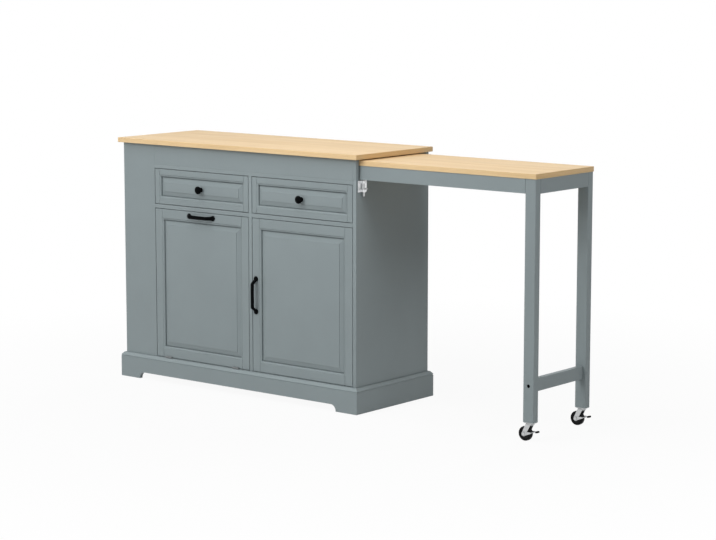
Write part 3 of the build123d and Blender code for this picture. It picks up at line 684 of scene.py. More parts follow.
@dataclass(frozen=True)
class Finish:
    """What every finish has.

    Attributes:
        name: The material's name.
        slot: The record's slot that it belongs to; the script doesn't use it.
        colour: Its main colour, linear.
        specular: Strength of its plain gloss.
    """

    name: str
    slot: RecordSlot
    colour: Colour
    specular: float = 0.5

    def material(self) -> bpy.types.Material:
        """Build the material once, then hand out the same one.

        Returns:
            The material.
        """
        if found := bpy.data.materials.get(self.name):
            return found
        made = bpy.data.materials.new(self.name)
        made.use_nodes = True
        made.diffuse_color = (*self.colour, 1.0)
        shader = Shader(made.node_tree)
        surface = shader.add("BsdfPrincipled", {"Specular IOR Level": self.specular})
        shader.add("OutputMaterial", {"Surface": surface.outputs[0]})
        self.dress(shader, surface, shader.add("TexCoord").outputs["Object"])
        return made

    def dress(self, shader: Shader, surface: bpy.types.Node, place: Socket) -> None:
        """Write the nodes of this finish."""
        raise NotImplementedError

    def shade(self, factor: float) -> tuple[float, float, float, float]:
        """The main colour made lighter or darker."""
        return (*(min(1.0, channel * factor) for channel in self.colour), 1.0)


@dataclass(frozen=True)
class Coat(Finish):
    """An even coat: paint, rubber or moulded plastic.

    Attributes:
        metallic: 1 for bare or plated metal.
        gloss: Lowest and highest roughness.
        drift: How far the tone wanders, as a share.
        cloud_scale: Clouds of tone per metre.
        skin_scale: Bumps of the skin per metre.
        skin_depth: Depth of the skin.
        edge_wear_and_highlight: How much the crests of edges are lightened, partly as wear and partly as a
            painted highlight, from 0 to 1.
        crest_lightening: How much lighter a fully lightened crest is.
        break_scale: Breaks in a lightened edge per metre.
        blend_ends: Where the mean of skin and clouds gives the lowest and the highest roughness.
    """

    metallic: float = 0.0
    gloss: Pair = (0.4, 0.5)
    drift: float = 0.04
    cloud_scale: float = 5.0
    skin_scale: float = 420.0
    skin_depth: float = 0.04 * MM
    edge_wear_and_highlight: float = 0.0
    crest_lightening: float = 1.9
    break_scale: float = 60.0
    blend_ends: Pair = (0.2, 0.8)

    def dress(self, shader: Shader, surface: bpy.types.Node, place: Socket) -> None:
        """Let the tone drift in clouds, the skin give the bump, and the crests of edges be lightened, partly
        as wear and partly as a painted highlight.

        Args:
            shader: The material's tree.
            surface: Its Principled shader.
            place: Object coordinates.
        """
        scales = {"Cloud Scale": self.cloud_scale, "Skin Scale": self.skin_scale}
        coat = shader.add("Group", {"Vector": place, **scales}, node_tree=mottle_group())
        clouds, skin = coat.outputs["Clouds"], coat.outputs["Skin"]
        colour = shader.mix(clouds, self.shade(1 - self.drift), self.shade(1 + self.drift))
        # Lighten the crests of edges: partly wear, partly a painted highlight where the eased edges catch
        # light
        if self.edge_wear_and_highlight:
            sockets = {"Vector": place, "Break Scale": self.break_scale}
            edges = shader.add("Group", sockets, node_tree=wear_and_highlight_group())
            share = shader.calc(Sum.MULTIPLY, edges.outputs["Wear And Highlight"], self.edge_wear_and_highlight)
            colour = shader.mix(share, colour, self.shade(self.crest_lightening))
        mean = shader.calc(Sum.MULTIPLY, shader.calc(Sum.ADD, skin, clouds), 0.5)
        bump = shader.add("Bump", {"Height": skin, "Strength": 1.0, "Distance": self.skin_depth})
        shader.feed(surface, {
            "Base Color": colour,
            "Roughness": shader.span(mean, self.blend_ends, self.gloss),
            "Metallic": self.metallic,
            "Normal": bump.outputs[0],
        })


@dataclass(frozen=True)
class Metal(Coat):
    """Bare or plated metal: an even coat with a finer skin.

    Attributes:
        metallic: 1, because it is metal all over.
        skin_scale: Bumps of its finer skin per metre.
        skin_depth: Depth of that skin.
    """

    metallic: float = 1.0
    skin_scale: float = 900.0
    skin_depth: float = 0.02 * MM


@dataclass(frozen=True)
class Wood(Finish):
    """Clear-coated wood with grain along one direction.

    Attributes:
        along: The grain's direction.
        deep: The colour of its darker streaks.
        growth: Growth lines across the slow noise.
        gloss: Lowest and highest roughness.
        lines: Strength of the growth lines, and their tone as a share of the darker streaks'.
        pores: Strength of the pores, and their tone as a share of the darker streaks'.
        streak_height: Height of the streaks, as a share of the pores' depth.
        relief: Depth of the pores.
    """

    along: Axis = Axis.X
    deep: Colour = (0.6, 0.4, 0.2)
    growth: float = 14.0
    gloss: Pair = (0.42, 0.55)
    lines: Pair = (0.22, 0.8)
    pores: Pair = (0.3, 0.5)
    streak_height: float = 0.4
    relief: float = 0.03 * MM

    def dress(self, shader: Shader, surface: bpy.types.Node, place: Socket) -> None:
        """Let streaks and growth lines mix two tones, and pores darken and dent the wood.

        Args:
            shader: The material's tree.
            surface: Its Principled shader.
            place: Object coordinates.
        """
        quarter = math.pi / 2
        turns = {Axis.X: (0.0, 0.0, 0.0), Axis.Y: (0.0, 0.0, quarter), Axis.Z: (0.0, quarter, 0.0)}
        laid = shader.add("Mapping", {"Vector": place, "Rotation": turns[self.along]}).outputs[0]
        grain = shader.add("Group", {"Vector": laid, "Growth Lines": self.growth}, node_tree=grain_group())
        streaks, pores = grain.outputs["Streaks"], grain.outputs["Pores"]
        colour = shader.mix(streaks, self.shade(1.0), self.deepened(1.0))
        for mask, (strength, tone) in ((grain.outputs["Growth"], self.lines), (pores, self.pores)):
            colour = shader.mix(shader.calc(Sum.MULTIPLY, mask, strength), colour, self.deepened(tone))
        height = shader.calc(Sum.SUBTRACT, shader.calc(Sum.MULTIPLY, streaks, self.streak_height), pores)
        bump = shader.add("Bump", {"Height": height, "Strength": 1.0, "Distance": self.relief})
        shader.feed(surface, {
            "Base Color": colour,
            "Roughness": shader.span(streaks, (0.0, 1.0), self.gloss),
            "Normal": bump.outputs[0],
        })

    def deepened(self, factor: float) -> tuple[float, float, float, float]:
        """The colour of the darker streaks, made darker."""
        return (*(channel * factor for channel in self.deep), 1.0)


# Its lightened edge crests are partly wear and partly a painted highlight on the eased edges
PAINT = Coat(
    "grey_satin_paint", RecordSlot.PAINT, (0.25, 0.293, 0.303), 0.35,
    gloss=(0.42, 0.52), drift=0.03, edge_wear_and_highlight=0.10,
)
OAK = Wood("pale_oak", RecordSlot.OAK, (0.84, 0.625, 0.365), 0.45, deep=(0.73, 0.51, 0.265))
OAK_END = Wood("pale_oak_end_band", RecordSlot.OAK, (0.76, 0.53, 0.27), along=Axis.Y, deep=(0.64, 0.42, 0.19))
BIRCH = Wood(
    "birch_board", RecordSlot.BOARD, (0.7, 0.55, 0.38),
    deep=(0.58, 0.43, 0.28), growth=9.0, gloss=(0.5, 0.62),
)
# Its faintly lightened edge crests are partly wear and partly a painted highlight
BLACK_IRON = Coat(
    "satin_black_iron", RecordSlot.IRON, (0.0014, 0.0018, 0.0021), 0.03,
    gloss=(0.28, 0.42), drift=0.25, cloud_scale=60.0, skin_scale=700.0, skin_depth=0.06 * MM, edge_wear_and_highlight=0.02,
)
ZINC = Metal(
    "zinc_plate", RecordSlot.ZINC, (0.79, 0.8, 0.81),
    gloss=(0.22, 0.4), drift=0.08, cloud_scale=160.0,
)
CASTER_STEEL = Metal(
    "grey_caster_steel", RecordSlot.ZINC, (0.54, 0.55, 0.555),
    gloss=(0.28, 0.46), drift=0.12, cloud_scale=160.0,
)
RUBBER = Coat(
    "black_rubber", RecordSlot.RUBBER, (0.006, 0.006, 0.0065), 0.1,
    gloss=(0.5, 0.68), drift=0.2, cloud_scale=80.0, skin_scale=900.0, skin_depth=0.05 * MM,
)
HUB_PLASTIC = Coat(
    "black_hub_plastic", RecordSlot.RUBBER, (0.009, 0.009, 0.0095), 0.15,
    gloss=(0.3, 0.42), drift=0.15, cloud_scale=70.0, skin_scale=600.0,
)
# Steel darkened so that the door pivots read as the painted shade of the gap between door and carcass
PIVOT_GAP_SHADE_STEEL = Metal(
    "pivot_steel_painted_gap_shade", RecordSlot.ZINC, (0.09, 0.095, 0.098),
    gloss=(0.35, 0.5), drift=0.12, cloud_scale=120.0,
)
DULL_STEEL = Metal(
    "dull_hinge_steel", RecordSlot.ZINC, (0.3, 0.31, 0.315),
    gloss=(0.42, 0.58), drift=0.1, cloud_scale=120.0,
)
NYLON = Coat("pale_nylon", RecordSlot.NYLON, (0.72, 0.72, 0.7), drift=0.05, cloud_scale=20.0)


# Boards and fasteners that the sub-assemblies use


def plain_board(node: str, body: str, ease: float) -> None:
    """Build one straight painted board in the place of a CAD node."""
    add_piece(f"{node}_board", [board(*node_box(node), ease)], [PAINT], body, node)


def wood_top(node: str, body: str, ease: float) -> None:
    """Build a wooden top with eased edges, whose two ends have a band with grain along the end.

    Args:
        node: The CAD node that it stands for.
        body: The body that carries it.
        ease: Radius of its edges.
    """
    piece = make_piece(f"{node}_wood", [board(*node_box(node), ease)], [OAK, OAK_END])
    normals = np.zeros(len(piece.data.polygons) * 3)
    piece.data.polygons.foreach_get("normal", normals)
    least_facing = 0.8
    ends = np.abs(normals.reshape(-1, 3)[:, 0]) > least_facing
    piece.data.polygons.foreach_set("material_index", ends.astype(np.int32))
    fit_piece(piece, body, node)


@dataclass(frozen=True)
class BoardPair:
    """Two boards of the cabinet that make one CAD node, at the two ends of its box.

    Attributes:
        name: The piece's name.
        node: The CAD node that it stands for.
        apart: The direction in which they stand apart.
        width: Width of each in that direction.
        finish: Their finish.
        ease: Radius of their edges.
        play: How far their tops stay below the node's.
    """

    name: str
    node: str
    apart: Axis
    width: float
    finish: Finish
    ease: float
    play: float = 0.0

    def build(self) -> None:
        """Build both boards as one piece."""
        low, high = node_box(self.node)
        high = high - self.play * Axis.Z.vector
        step = (high - low - self.width) * self.apart.vector
        boards = [board(low, high - step, self.ease), board(low + step, high, self.ease)]
        add_piece(self.name, boards, [self.finish], "cabinet", self.node)


@dataclass(frozen=True)
class SocketBolt:
    """A bolt with a six-sided socket.

    Attributes:
        outside: Radius and height rows in millimetres, from the shank's end up to the crown at height 0.
        socket: Rows of the socket's six-sided wall, with its corner radius.
        floor: The middle of the socket's floor.
        around: Points round each ring.
    """

    outside: Rows = (
        (TIP, -61.0), (2.6, -61.0), (3.0, -60.0), (3.0, -4.0), (5.6, -4.0), (6.0, -3.6),
        (6.0, -0.6), (5.8, -0.2), (5.4, 0.0),
    )
    socket: Rows = ((3.3, 0.0), (3.1, -0.3), (3.1, -2.6))
    floor: Rows = ((TIP, -2.8),)
    around: int = 48

    def surface(self, crown: Array, out: Array) -> Surface:
        """Turn the rows about the bolt's axis, with hexagons for the socket's rings.

        A hexagon with the corner radius c has the radius c * cos 30 / cos a in a direction that is a degrees
        from the middle of its nearest flat.

        Args:
            crown: Middle of the head's outer face.
            out: Direction that the head faces.

        Returns:
            The bolt.
        """
        rows = np.array(self.outside + self.socket + self.floor) * MM
        place = np.arange(len(rows)) - len(self.outside)
        six_sided = (place >= 0) & (place < len(self.socket))
        sixth = np.pi / 3
        from_flat = (round_angles(self.around) + sixth / 2) % sixth - sixth / 2
        flats = np.cos(sixth / 2) / np.cos(from_flat)
        reach = rows[:, :1] * np.where(six_sided[:, None], flats, 1.0)
        return Surface(crown + reach[..., None] * spokes(out, self.around) + rows[:, 1:, None] * out)


@dataclass(frozen=True)
class CrossScrew:
    """The pan head of a screw with a cross recess.

    Attributes:
        radius: Radius of the head.
        tall: Height of the head.
        rim: Height of its rim, as a share of the head's.
        skirt: Radius of the underside's middle, its edge and the rim, as shares of the head's.
        dome: Radius of each ring of the dome, as shares of the head's.
        bar: Half width and half length of the cross's bars, as shares of the head's radius.
        recess: Depth of the cross, as a share of the head's height.
        around: Points round each ring.
    """

    radius: float
    tall: float
    rim: float = 0.45
    skirt: tuple[float, ...] = (0.02, 1.0, 1.0)
    dome: tuple[float, ...] = (0.96, 0.88, 0.76, 0.66, 0.6, 0.54, 0.46, 0.36, 0.26, 0.16, 0.06, 0.005)
    bar: Pair = (0.13, 0.58)
    recess: float = 0.55
    around: int = 64

    def surface(self, seat: Array, out: Array) -> Surface:
        """Turn the head: its dome rises to rim + (1 - rim) * sqrt(1 - r^2), less the recess in the cross.

        Args:
            seat: Middle of the head's underside.
            out: Direction that the head faces.

        Returns:
            The head.
        """
        share = np.array(self.skirt + self.dome)
        domed = self.rim + (1 - self.rim) * np.sqrt(1 - np.array(self.dome) ** 2)
        rise = np.concatenate([[0.0, 0.0, self.rim], domed])
        angle = round_angles(self.around)
        x, y = (np.abs(share[:, None] * wave) for wave in (np.cos(angle), np.sin(angle)))
        thin, long = self.bar
        cross = ((x < thin) & (y < long)) | ((y < thin) & (x < long))
        cross[:len(self.skirt)] = False
        height = (rise[:, None] - self.recess * cross) * self.tall
        reach = self.radius * share[:, None, None] * spokes(out, self.around)
        return Surface(seat + reach + height[..., None] * out)


# Sub-assemblies


@dataclass
class Carcass:
    """The fixed boards of the cabinet.

    Attributes:
        ease: Radius of the painted boards' edges.
        top_ease: Radius of the worktop's edges.
        glide_width: Width of a nylon glide strip.
        glide_ease: Radius of its edges.
        glide_play: Play between the strips and the table's aprons.
        plain: CAD nodes that are one straight painted board each.
        dressed: CAD nodes that keep their shape, by finish.
    """

    ease: float = 0.8 * MM
    top_ease: float = 1.6 * MM
    glide_width: float = 12.0 * MM
    glide_ease: float = 0.5 * MM
    glide_play: float = 0.05 * MM
    plain: tuple[str, ...] = (
        "front_top_rail", "rear_top_rail", "front_end_stile", "rear_end_stile", "end_partition",
        "centre_divider", "right_side_panel", "bottom_panel", "bay_floor", "back_panel",
    )
    # The door pivots take a steel darkened to a painted shade of their gap
    dressed: dict[str, Finish] = field(default_factory=lambda: {
        "base_runners": BIRCH, "bay_guides": BIRCH, "cupboard_shelf": BIRCH,
        "shelf_pins": ZINC, "drawer_rails": ZINC, "tilt_hinge_seats": DULL_STEEL, "door_pivots": PIVOT_GAP_SHADE_STEEL,
    })

    def build(self) -> None:
        """Build the worktop, the boards and the paired boards, and dress the rest."""
        wood_top("worktop", "cabinet", self.top_ease)
        for node in self.plain:
            plain_board(node, "cabinet", self.ease)
        self.build_pairs()
        for node, finish in self.dressed.items():
            dress_node(node, finish)

    def build_pairs(self) -> None:
        """Build the posts, decks, end shelves and glide strips, which come in twos."""
        post_low, post_high = node_box("bay_posts")
        deck_low, _ = node_box("drawer_decks")
        divider_low, _ = node_box("centre_divider")
        thick = post_high[0] - post_low[0]
        deck_width = divider_low[0] - deck_low[0]
        for pair in (
            BoardPair("bay_post_pair", "bay_posts", Axis.Y, thick, PAINT, self.ease),
            BoardPair("drawer_deck_pair", "drawer_decks", Axis.X, deck_width, PAINT, self.ease),
            BoardPair("end_shelf_pair", "end_shelves", Axis.Z, thick, PAINT, self.ease),
            BoardPair(
                "glide_strip_pair", "glide_strips", Axis.Y, self.glide_width, NYLON, self.glide_ease,
                self.glide_play,
            ),
        ):
            pair.build()


@dataclass
class Plinth:
    """The moulded plinth, four boards mitred at the corners.

    Attributes:
        slope_height: Height of the sloped top edge.
        slope_depth: Depth of the sloped top edge.
        ease: Rounding at its corners.
        cove: Depth of the cove, and the way down to it from the slope, at each of its points.
        cove_end: The way down from the slope to the cove's lower end.
        rebate: How far its top drops beside the body.
        rebate_width: Width of that drop at its foot and at its rim.
        foot: Width of the front board's feet.
        cutout: Height of the cut-out between them.
        cutout_radius: Radius of the cut-out's ends.
        proud: How far the boards stand out from the body.
        height: Height of the boards.
    """

    slope_height: float = 11.0 * MM
    slope_depth: float = 9.0 * MM
    ease: float = 1.0 * MM
    cove: Rows = ((1.3 * MM, 4.4 * MM), (1.8 * MM, 3.2 * MM), (1.0 * MM, 1.8 * MM))
    cove_end: float = 5.0 * MM
    rebate: float = 2.8 * MM
    rebate_width: Pair = (2.8 * MM, 3.4 * MM)
    foot: float = 97.0 * MM
    cutout: float = 24.5 * MM
    cutout_radius: float = 23.0 * MM
    proud: float = field(init=False)
    height: float = field(init=False)

    def __post_init__(self) -> None:
        """Take the boards' thickness and height from the back one."""
        low, high = node_box("plinth_back")
        self.proud, self.height = high[1] - low[1], high[2]

    def build(self) -> None:
        """Build the four boards round the body."""
        low, high = node_box("plinth_back")
        front_low, _ = node_box("plinth_front")
        left, right = low[0] + self.proud, high[0] - self.proud
        front, back = front_low[1] + self.proud, low[1]
        x, y = Axis.X.vector, Axis.Y.vector
        sides = (
            ("plinth_front_board", np.array([left, front, 0]), right - left, x, -y, True, ("plinth_front",)),
            ("plinth_back_board", np.array([left, back, 0]), right - left, x, y, False, ("plinth_back",)),
            ("plinth_left_board", np.array([left, front, 0]), back - front, y, -x, False, ("plinth_sides",)),
            ("plinth_right_board", np.array([right, front, 0]), back - front, y, x, False, ()),
        )
        for name, start, long, along, out, cut, nodes in sides:
            add_piece(name, [self.moulded(start, long, along, out, cut)], [PAINT], "cabinet", *nodes)

    def profile(self) -> tuple[Array, Array, int]:
        """Draw the section as outward and upward rows, from the inner foot round to the inner top.

        Returns:
            The section, the direction that it faces at each row, with zeros where the mesh's own is used,
            and how many of its first rows are at the foot.
        """
        out, top, ease = self.proud, self.height, self.ease
        slope, crest = top - self.slope_height, out - self.slope_depth
        corner, slope_foot, slope_head = 0.3 * ease, 0.4 * ease, 0.8 * ease
        inner, rim = self.rebate_width
        own, ahead, up, below = (0.0, 0.0), (1.0, 0.0), (0.0, 1.0), (0.7, -0.7)
        lean = unit(np.array([self.slope_height, self.slope_depth]))
        foot = [
            ((0.0, 0.0), own), ((out - ease, 0.0), own),
            ((out - corner, corner), below), ((out, ease), ahead),
        ]
        cove = [((out - deep, slope - down), own) for deep, down in self.cove]
        rows = [
            *foot, ((out, slope - self.cove_end), ahead), *cove, ((out, slope - ease), own),
            ((out - slope_foot, slope + slope_foot), lean),
            ((crest + slope_head, top - 2 * slope_head), lean),
            ((crest - ease, top - ease), up), ((rim, top - ease), up),
            ((inner, top - self.rebate), own), ((0.0, top - self.rebate), own),
        ]
        return np.array([row[0] for row in rows]), np.array([row[1] for row in rows]), len(foot)

    def moulded(self, start: Array, long: float, along: Array, out: Array, cut: bool) -> Surface:
        """Carry the section along a side, with mitred ends, and lift its foot where the cut-out is.

        The lift at a distance d past a foot is (h - r) + sqrt(r^2 - (r - d)^2) up to d = r, and h beyond.

        Args:
            start: The inner corner where the side starts.
            long: Length of the body's side.
            along: Direction of the side.
            out: Outward direction.
            cut: Whether this board has the cut-out.

        Returns:
            The board.
        """
        section, facing, foot_rows = self.profile()
        stations = np.array([0.0, long])
        lifts = np.zeros(2)
        if cut:
            turn = np.linspace(0.0, np.pi / 2, ARC_POINTS)
            d = self.cutout_radius * (1 - np.cos(turn))
            rise = self.cutout - self.cutout_radius + self.cutout_radius * np.sin(turn)
            foot = self.foot - self.proud
            stations = np.concatenate([[0.0, foot], foot + d, (long - foot - d)[::-1], [long - foot, long]])
            lifts = np.concatenate([[0.0, 0.0], rise, rise[::-1], [0.0, 0.0]])
        height = section[:, 1] + lifts[:, None] * (np.arange(len(section)) < foot_rows)
        place = np.broadcast_to(stations[:, None], height.shape).copy()
        place[0] -= section[:, 0]
        place[-1] += section[:, 0]
        up = Axis.Z.vector
        rings = start + place[..., None] * along + section[:, :1] * out + height[..., None] * up
        normals = facing[:, :1] * out + facing[:, 1:] * up
        return Surface(rings, normals=np.broadcast_to(normals, rings.shape))


@dataclass
class RaisedFront:
    """A door or drawer front: two stiles, two rails and a raised panel in a moulding.

    Attributes:
        node: The CAD node that it stands for.
        body: The body that carries it.
        frame_width: Width of the stiles and rails.
        ease: Radius of the frame's edges.
        joint: Width of the line between a rail and a stile.
        moulding: Width and depth of the moulding.
        rim: Gap between the frame and the moulding, and how far the moulding starts behind the frame's face.
        fillet: Width and depth of the moulding's fillet.
        lap: How far the groove reaches under the moulding and under the panel.
        walls: Lean of the groove's walls, on the moulding's side and on the panel's.
        depths: Depth of the moulding's foot, the groove and the bevel's foot, as shares of the moulding's.
        quirk: Width of the flat beside the panel.
        bevel: Width of the panel's bevel.
        bevel_power: Power of the way across that the bevel rises by.
        shoulder: Height of the step at the field's edge.
        step: The step's points: how far past the bevel, and how far behind the field.
        field_depth: How far the field lies behind the frame.
        crease: Angle in degrees past which the panel's lines stay sharp.
    """

    node: str
    body: str
    frame_width: float = 34.0 * MM
    ease: float = 1.5 * MM
    joint: float = 0.5 * MM
    moulding: Pair = (7.5 * MM, 8.0 * MM)
    rim: Pair = (0.1 * MM, 0.3 * MM)
    fillet: Pair = (0.4 * MM, 0.9 * MM)
    lap: float = 0.4 * MM
    walls: Pair = (0.1 * MM, 0.2 * MM)
    depths: tuple[float, float, float] = (0.8, 1.35, 0.9)
    quirk: float = 1.5 * MM
    bevel: float = 17.0 * MM
    bevel_power: float = 0.9
    shoulder: float = 1.8 * MM
    step: Rows = ((0.15 * MM, 0.4 * MM), (0.5 * MM, 0.06 * MM), (1.1 * MM, 0.0))
    field_depth: float = 1.0 * MM
    crease: float = 22.0

    def build(self) -> None:
        """Build the frame members and the panel."""
        low, high = node_box(self.node)
        wide = self.frame_width
        rails = (low[0] + wide + self.joint, high[0] - wide - self.joint)
        spans = (
            ((low[0], low[0] + wide), (low[2], high[2])),
            ((high[0] - wide, high[0]), (low[2], high[2])),
            (rails, (low[2], low[2] + wide)),
            (rails, (high[2] - wide, high[2])),
        )
        members = [
            board(np.array([x[0], low[1], z[0]]), np.array([x[1], high[1], z[1]]), self.ease)
            for x, z in spans
        ]
        add_piece(f"{self.node}_frame", members, [PAINT], self.body)
        panel = make_piece(f"{self.node}_panel", [self.panel(low, high)], [PAINT], self.crease)
        fit_piece(panel, self.body, self.node)

    def panel(self, low: Array, high: Array) -> Surface:
        """Nest rectangles from the panel's back to its field: each is inset and pushed back by the section.

        The moulding is an ovolo, inset = w * sin t and depth = d * (1 - cos t), that ends in a narrow groove.
        The bevel rises by a power of the way across and stops at a small shoulder under the field.

        Args:
            low: Lowest corner of the front.
            high: Highest corner of the front.

        Returns:
            The panel with its moulding.
        """
        start, thick = self.frame_width, high[1] - low[1]
        wide, deep = self.moulding
        ovolo_depth, groove_depth, bevel_depth = (share * deep for share in self.depths)
        t = np.linspace(0.0, 1.0, CURVE_POINTS)
        turn = t * np.pi / 2
        rim, rim_depth = start + self.rim[0], self.rim[1]
        fillet, fillet_depth = rim + self.fillet[0], self.fillet[1]
        ovolo_end = start + wide - self.lap
        ovolo_inset = fillet + (ovolo_end - fillet) * np.sin(turn)
        ovolo = np.stack([ovolo_inset, fillet_depth + (ovolo_depth - fillet_depth) * (1 - np.cos(turn))], -1)
        foot = start + wide + self.quirk
        groove_end, crest = foot + self.lap, foot + self.bevel
        groove = [(ovolo_end + self.walls[0], groove_depth), (groove_end, groove_depth)]
        bevel_start = groove_end + self.walls[1]
        rise = (bevel_depth - self.field_depth - self.shoulder) * t ** self.bevel_power
        slope = np.stack([bevel_start + (crest - bevel_start) * t, bevel_depth - rise], -1)
        step = np.array(self.step) + [crest, self.field_depth]
        section = np.vstack([[(start, thick), (rim, rim_depth)], ovolo, groove, slope, step])
        inset, depth = section[:, :1], section[:, 1:]
        x = np.concatenate([low[0] + inset, high[0] - inset, high[0] - inset, low[0] + inset], 1)
        z = np.concatenate([low[2] + inset, low[2] + inset, high[2] - inset, high[2] - inset], 1)
        y = np.broadcast_to(low[1] + depth, x.shape)
        return Surface(np.stack([x, y, z], -1), mitred=True)


@dataclass
class BowHandle:
    """A black bow handle with round domed feet.

    Attributes:
        node: The CAD node that it stands for.
        body: The body that carries it.
        foot_radius: Radius of its feet.
        foot_rim: Height of a foot's rim.
        dome: Rise of a foot's dome.
        dome_step: Width of the step between the rim and the dome.
        dome_shares: Radius at the dome's rim and at its middle, as shares of its widest.
        shoulder: How far along a foot's bend goes.
        bar_wide: Half width of the bar at the feet and in the middle.
        bar_thick: Half thickness of the bar at the feet and in the middle.
        bar_seat: How far the bar's ends lie above the feet's rims.
        squareness: Power of the bar's section, 2 for an ellipse.
    """

    node: str
    body: str
    foot_radius: float = 10.0 * MM
    foot_rim: float = 2.0 * MM
    dome: float = 3.6 * MM
    dome_step: float = 0.5 * MM
    dome_shares: Pair = (1.0, 0.001)
    shoulder: float = 19.0 * MM
    bar_wide: Pair = (7.6 * MM, 6.7 * MM)
    bar_thick: Pair = (3.8 * MM, 4.8 * MM)
    bar_seat: float = 0.5 * MM
    squareness: float = 2.4

    def build(self) -> None:
        """Build the bow and its two feet, whose domes rise by sqrt(1 - r^2)."""
        low, high = node_box(self.node)
        along = Axis.X.vector if high[0] - low[0] > high[2] - low[2] else Axis.Z.vector
        out = -Axis.Y.vector
        seat = rear_middle(low, high)
        half = float((high - low) @ along) / 2 - self.foot_radius
        r = np.linspace(*self.dome_shares, DOME_POINTS) * (self.foot_radius - self.dome_step)
        dome = np.stack([r, self.foot_rim + self.dome * np.sqrt(1 - (r / self.foot_radius) ** 2)], -1)
        rim = [(TIP * MM, 0.0), (self.foot_radius, 0.0), (self.foot_radius, self.foot_rim)]
        feet = [turned(np.vstack([rim, dome]), seat + along * end, out, around=48) for end in (-half, half)]
        bow = self.bow(seat, along, out, half, high[1] - low[1])
        add_piece(f"{self.node}_bow", [bow, *feet], [BLACK_IRON], self.body, self.node)

    def bow(self, seat: Array, along: Array, out: Array, half: float, reach: float) -> Surface:
        """Sweep the bar: its height is a smooth step, 3 s^2 - 2 s^3, of the way in from each foot.

        Args:
            seat: Middle of the handle on the front.
            along: Its direction.
            out: Outward direction.
            half: Half the distance between its feet.
            reach: How far it stands out.

        Returns:
            The bar.
        """
        place = half * np.sin(np.linspace(-np.pi / 2, np.pi / 2, BOW_POINTS))
        way = np.clip((half - np.abs(place)) / self.shoulder, 0.0, 1.0)
        step = way ** 2 * (3 - 2 * way)
        wide, thick = (ends[0] + (ends[1] - ends[0]) * step for ends in (self.bar_wide, self.bar_thick))
        base, top = self.foot_rim + self.bar_seat, reach - self.bar_thick[1]
        path = seat + place[:, None] * along + (base + (top - base) * step)[:, None] * out
        return swept(path, np.cross(along, out), np.stack([wide, thick], -1), self.squareness, around=24)


@dataclass
class Door:
    """A door: raised front, bow handle and what it carries inside.

    Attributes:
        name: Its body, which its CAD nodes are named for.
        carried: CAD nodes behind it that keep their shape, by finish.
    """

    name: str
    carried: dict[str, Finish] = field(default_factory=dict)

    def build(self) -> None:
        """Build the front and the handle, and dress what the door carries."""
        RaisedFront(self.name, self.name).build()
        BowHandle(f"{self.name}_handle", self.name).build()
        for node, finish in self.carried.items():
            dress_node(node, finish)


@dataclass
class Drawer:
    """A drawer: raised front, box of boards, slide angles and a knob.

    Attributes:
        hand: Left or right.
        frame_width: Width of the front's stiles and rails.
        knob: Radius and height rows of the knob, from its seat to its crown, scaled to its CAD node.
    """

    hand: Hand
    frame_width: float = 22.0 * MM
    knob: Rows = (
        (TIP, 0.0), (8.9, 0.0), (9.0, 1.4), (8.5, 2.6), (6.6, 3.4), (5.7, 6.0), (5.8, 9.4), (8.2, 12.6),
        (12.4, 14.6), (15.1, 17.2), (15.5, 19.8), (14.5, 22.8), (11.6, 25.6), (7.4, 27.3), (3.4, 27.9),
        (TIP, 28.0),
    )

    def build(self) -> None:
        """Build the front and the knob, and dress the box and the slides."""
        body = f"{self.hand.value}_drawer"
        RaisedFront(f"{body}_front", body, self.frame_width).build()
        dress_node(f"{body}_box", BIRCH)
        dress_node(f"{body}_slides", ZINC)
        low, high = node_box(f"{body}_knob")
        radius, tall = (high[0] - low[0]) / 2, high[1] - low[1]
        scale = np.array([radius, tall]) / np.max(self.knob, axis=0)
        profile = held_profile(flowing(self.knob) * scale, radius, tall)
        shape = turned(profile, rear_middle(low, high), -Axis.Y.vector, around=56)
        add_piece(f"{body}_round_knob", [shape], [BLACK_IRON], body, f"{body}_knob")


@dataclass
class PullOutTable:
    """The table that slides out of the right end.

    Attributes:
        ease: Radius of the painted boards' edges.
        top_ease: Radius of the wooden top's edges.
        boards: CAD nodes that are one straight painted board each.
        dressed: Painted CAD nodes that keep their shape, such as the apron with the latch's holes.
        bolt: The bolts through the legs.
    """

    ease: float = 0.9 * MM
    top_ease: float = 1.6 * MM
    boards: tuple[str, ...] = ("table_rear_apron", "table_end_apron", "table_inner_rail", "leg_stretcher")
    dressed: tuple[str, ...] = ("table_front_apron", "front_leg", "rear_leg")
    bolt: SocketBolt = SocketBolt()

    def build(self) -> None:
        """Build the top, the boards and the bolts, and dress the rest."""
        wood_top("table_board", "table", self.top_ease)
        for node in self.boards:
            plain_board(node, "table", self.ease)
        for node in self.dressed:
            dress_node(node, PAINT)
        low, high = node_box("leg_bolts")
        middle = (low + high) / 2
        out = Axis.Y.vector
        heads = [
            self.bolt.surface(np.array([middle[0], face, middle[2]]), side * out)
            for face, side in ((low[1], -1), (high[1], 1))
        ]
        add_piece("leg_socket_bolts", heads, [BLACK_IRON], "table", "leg_bolts")


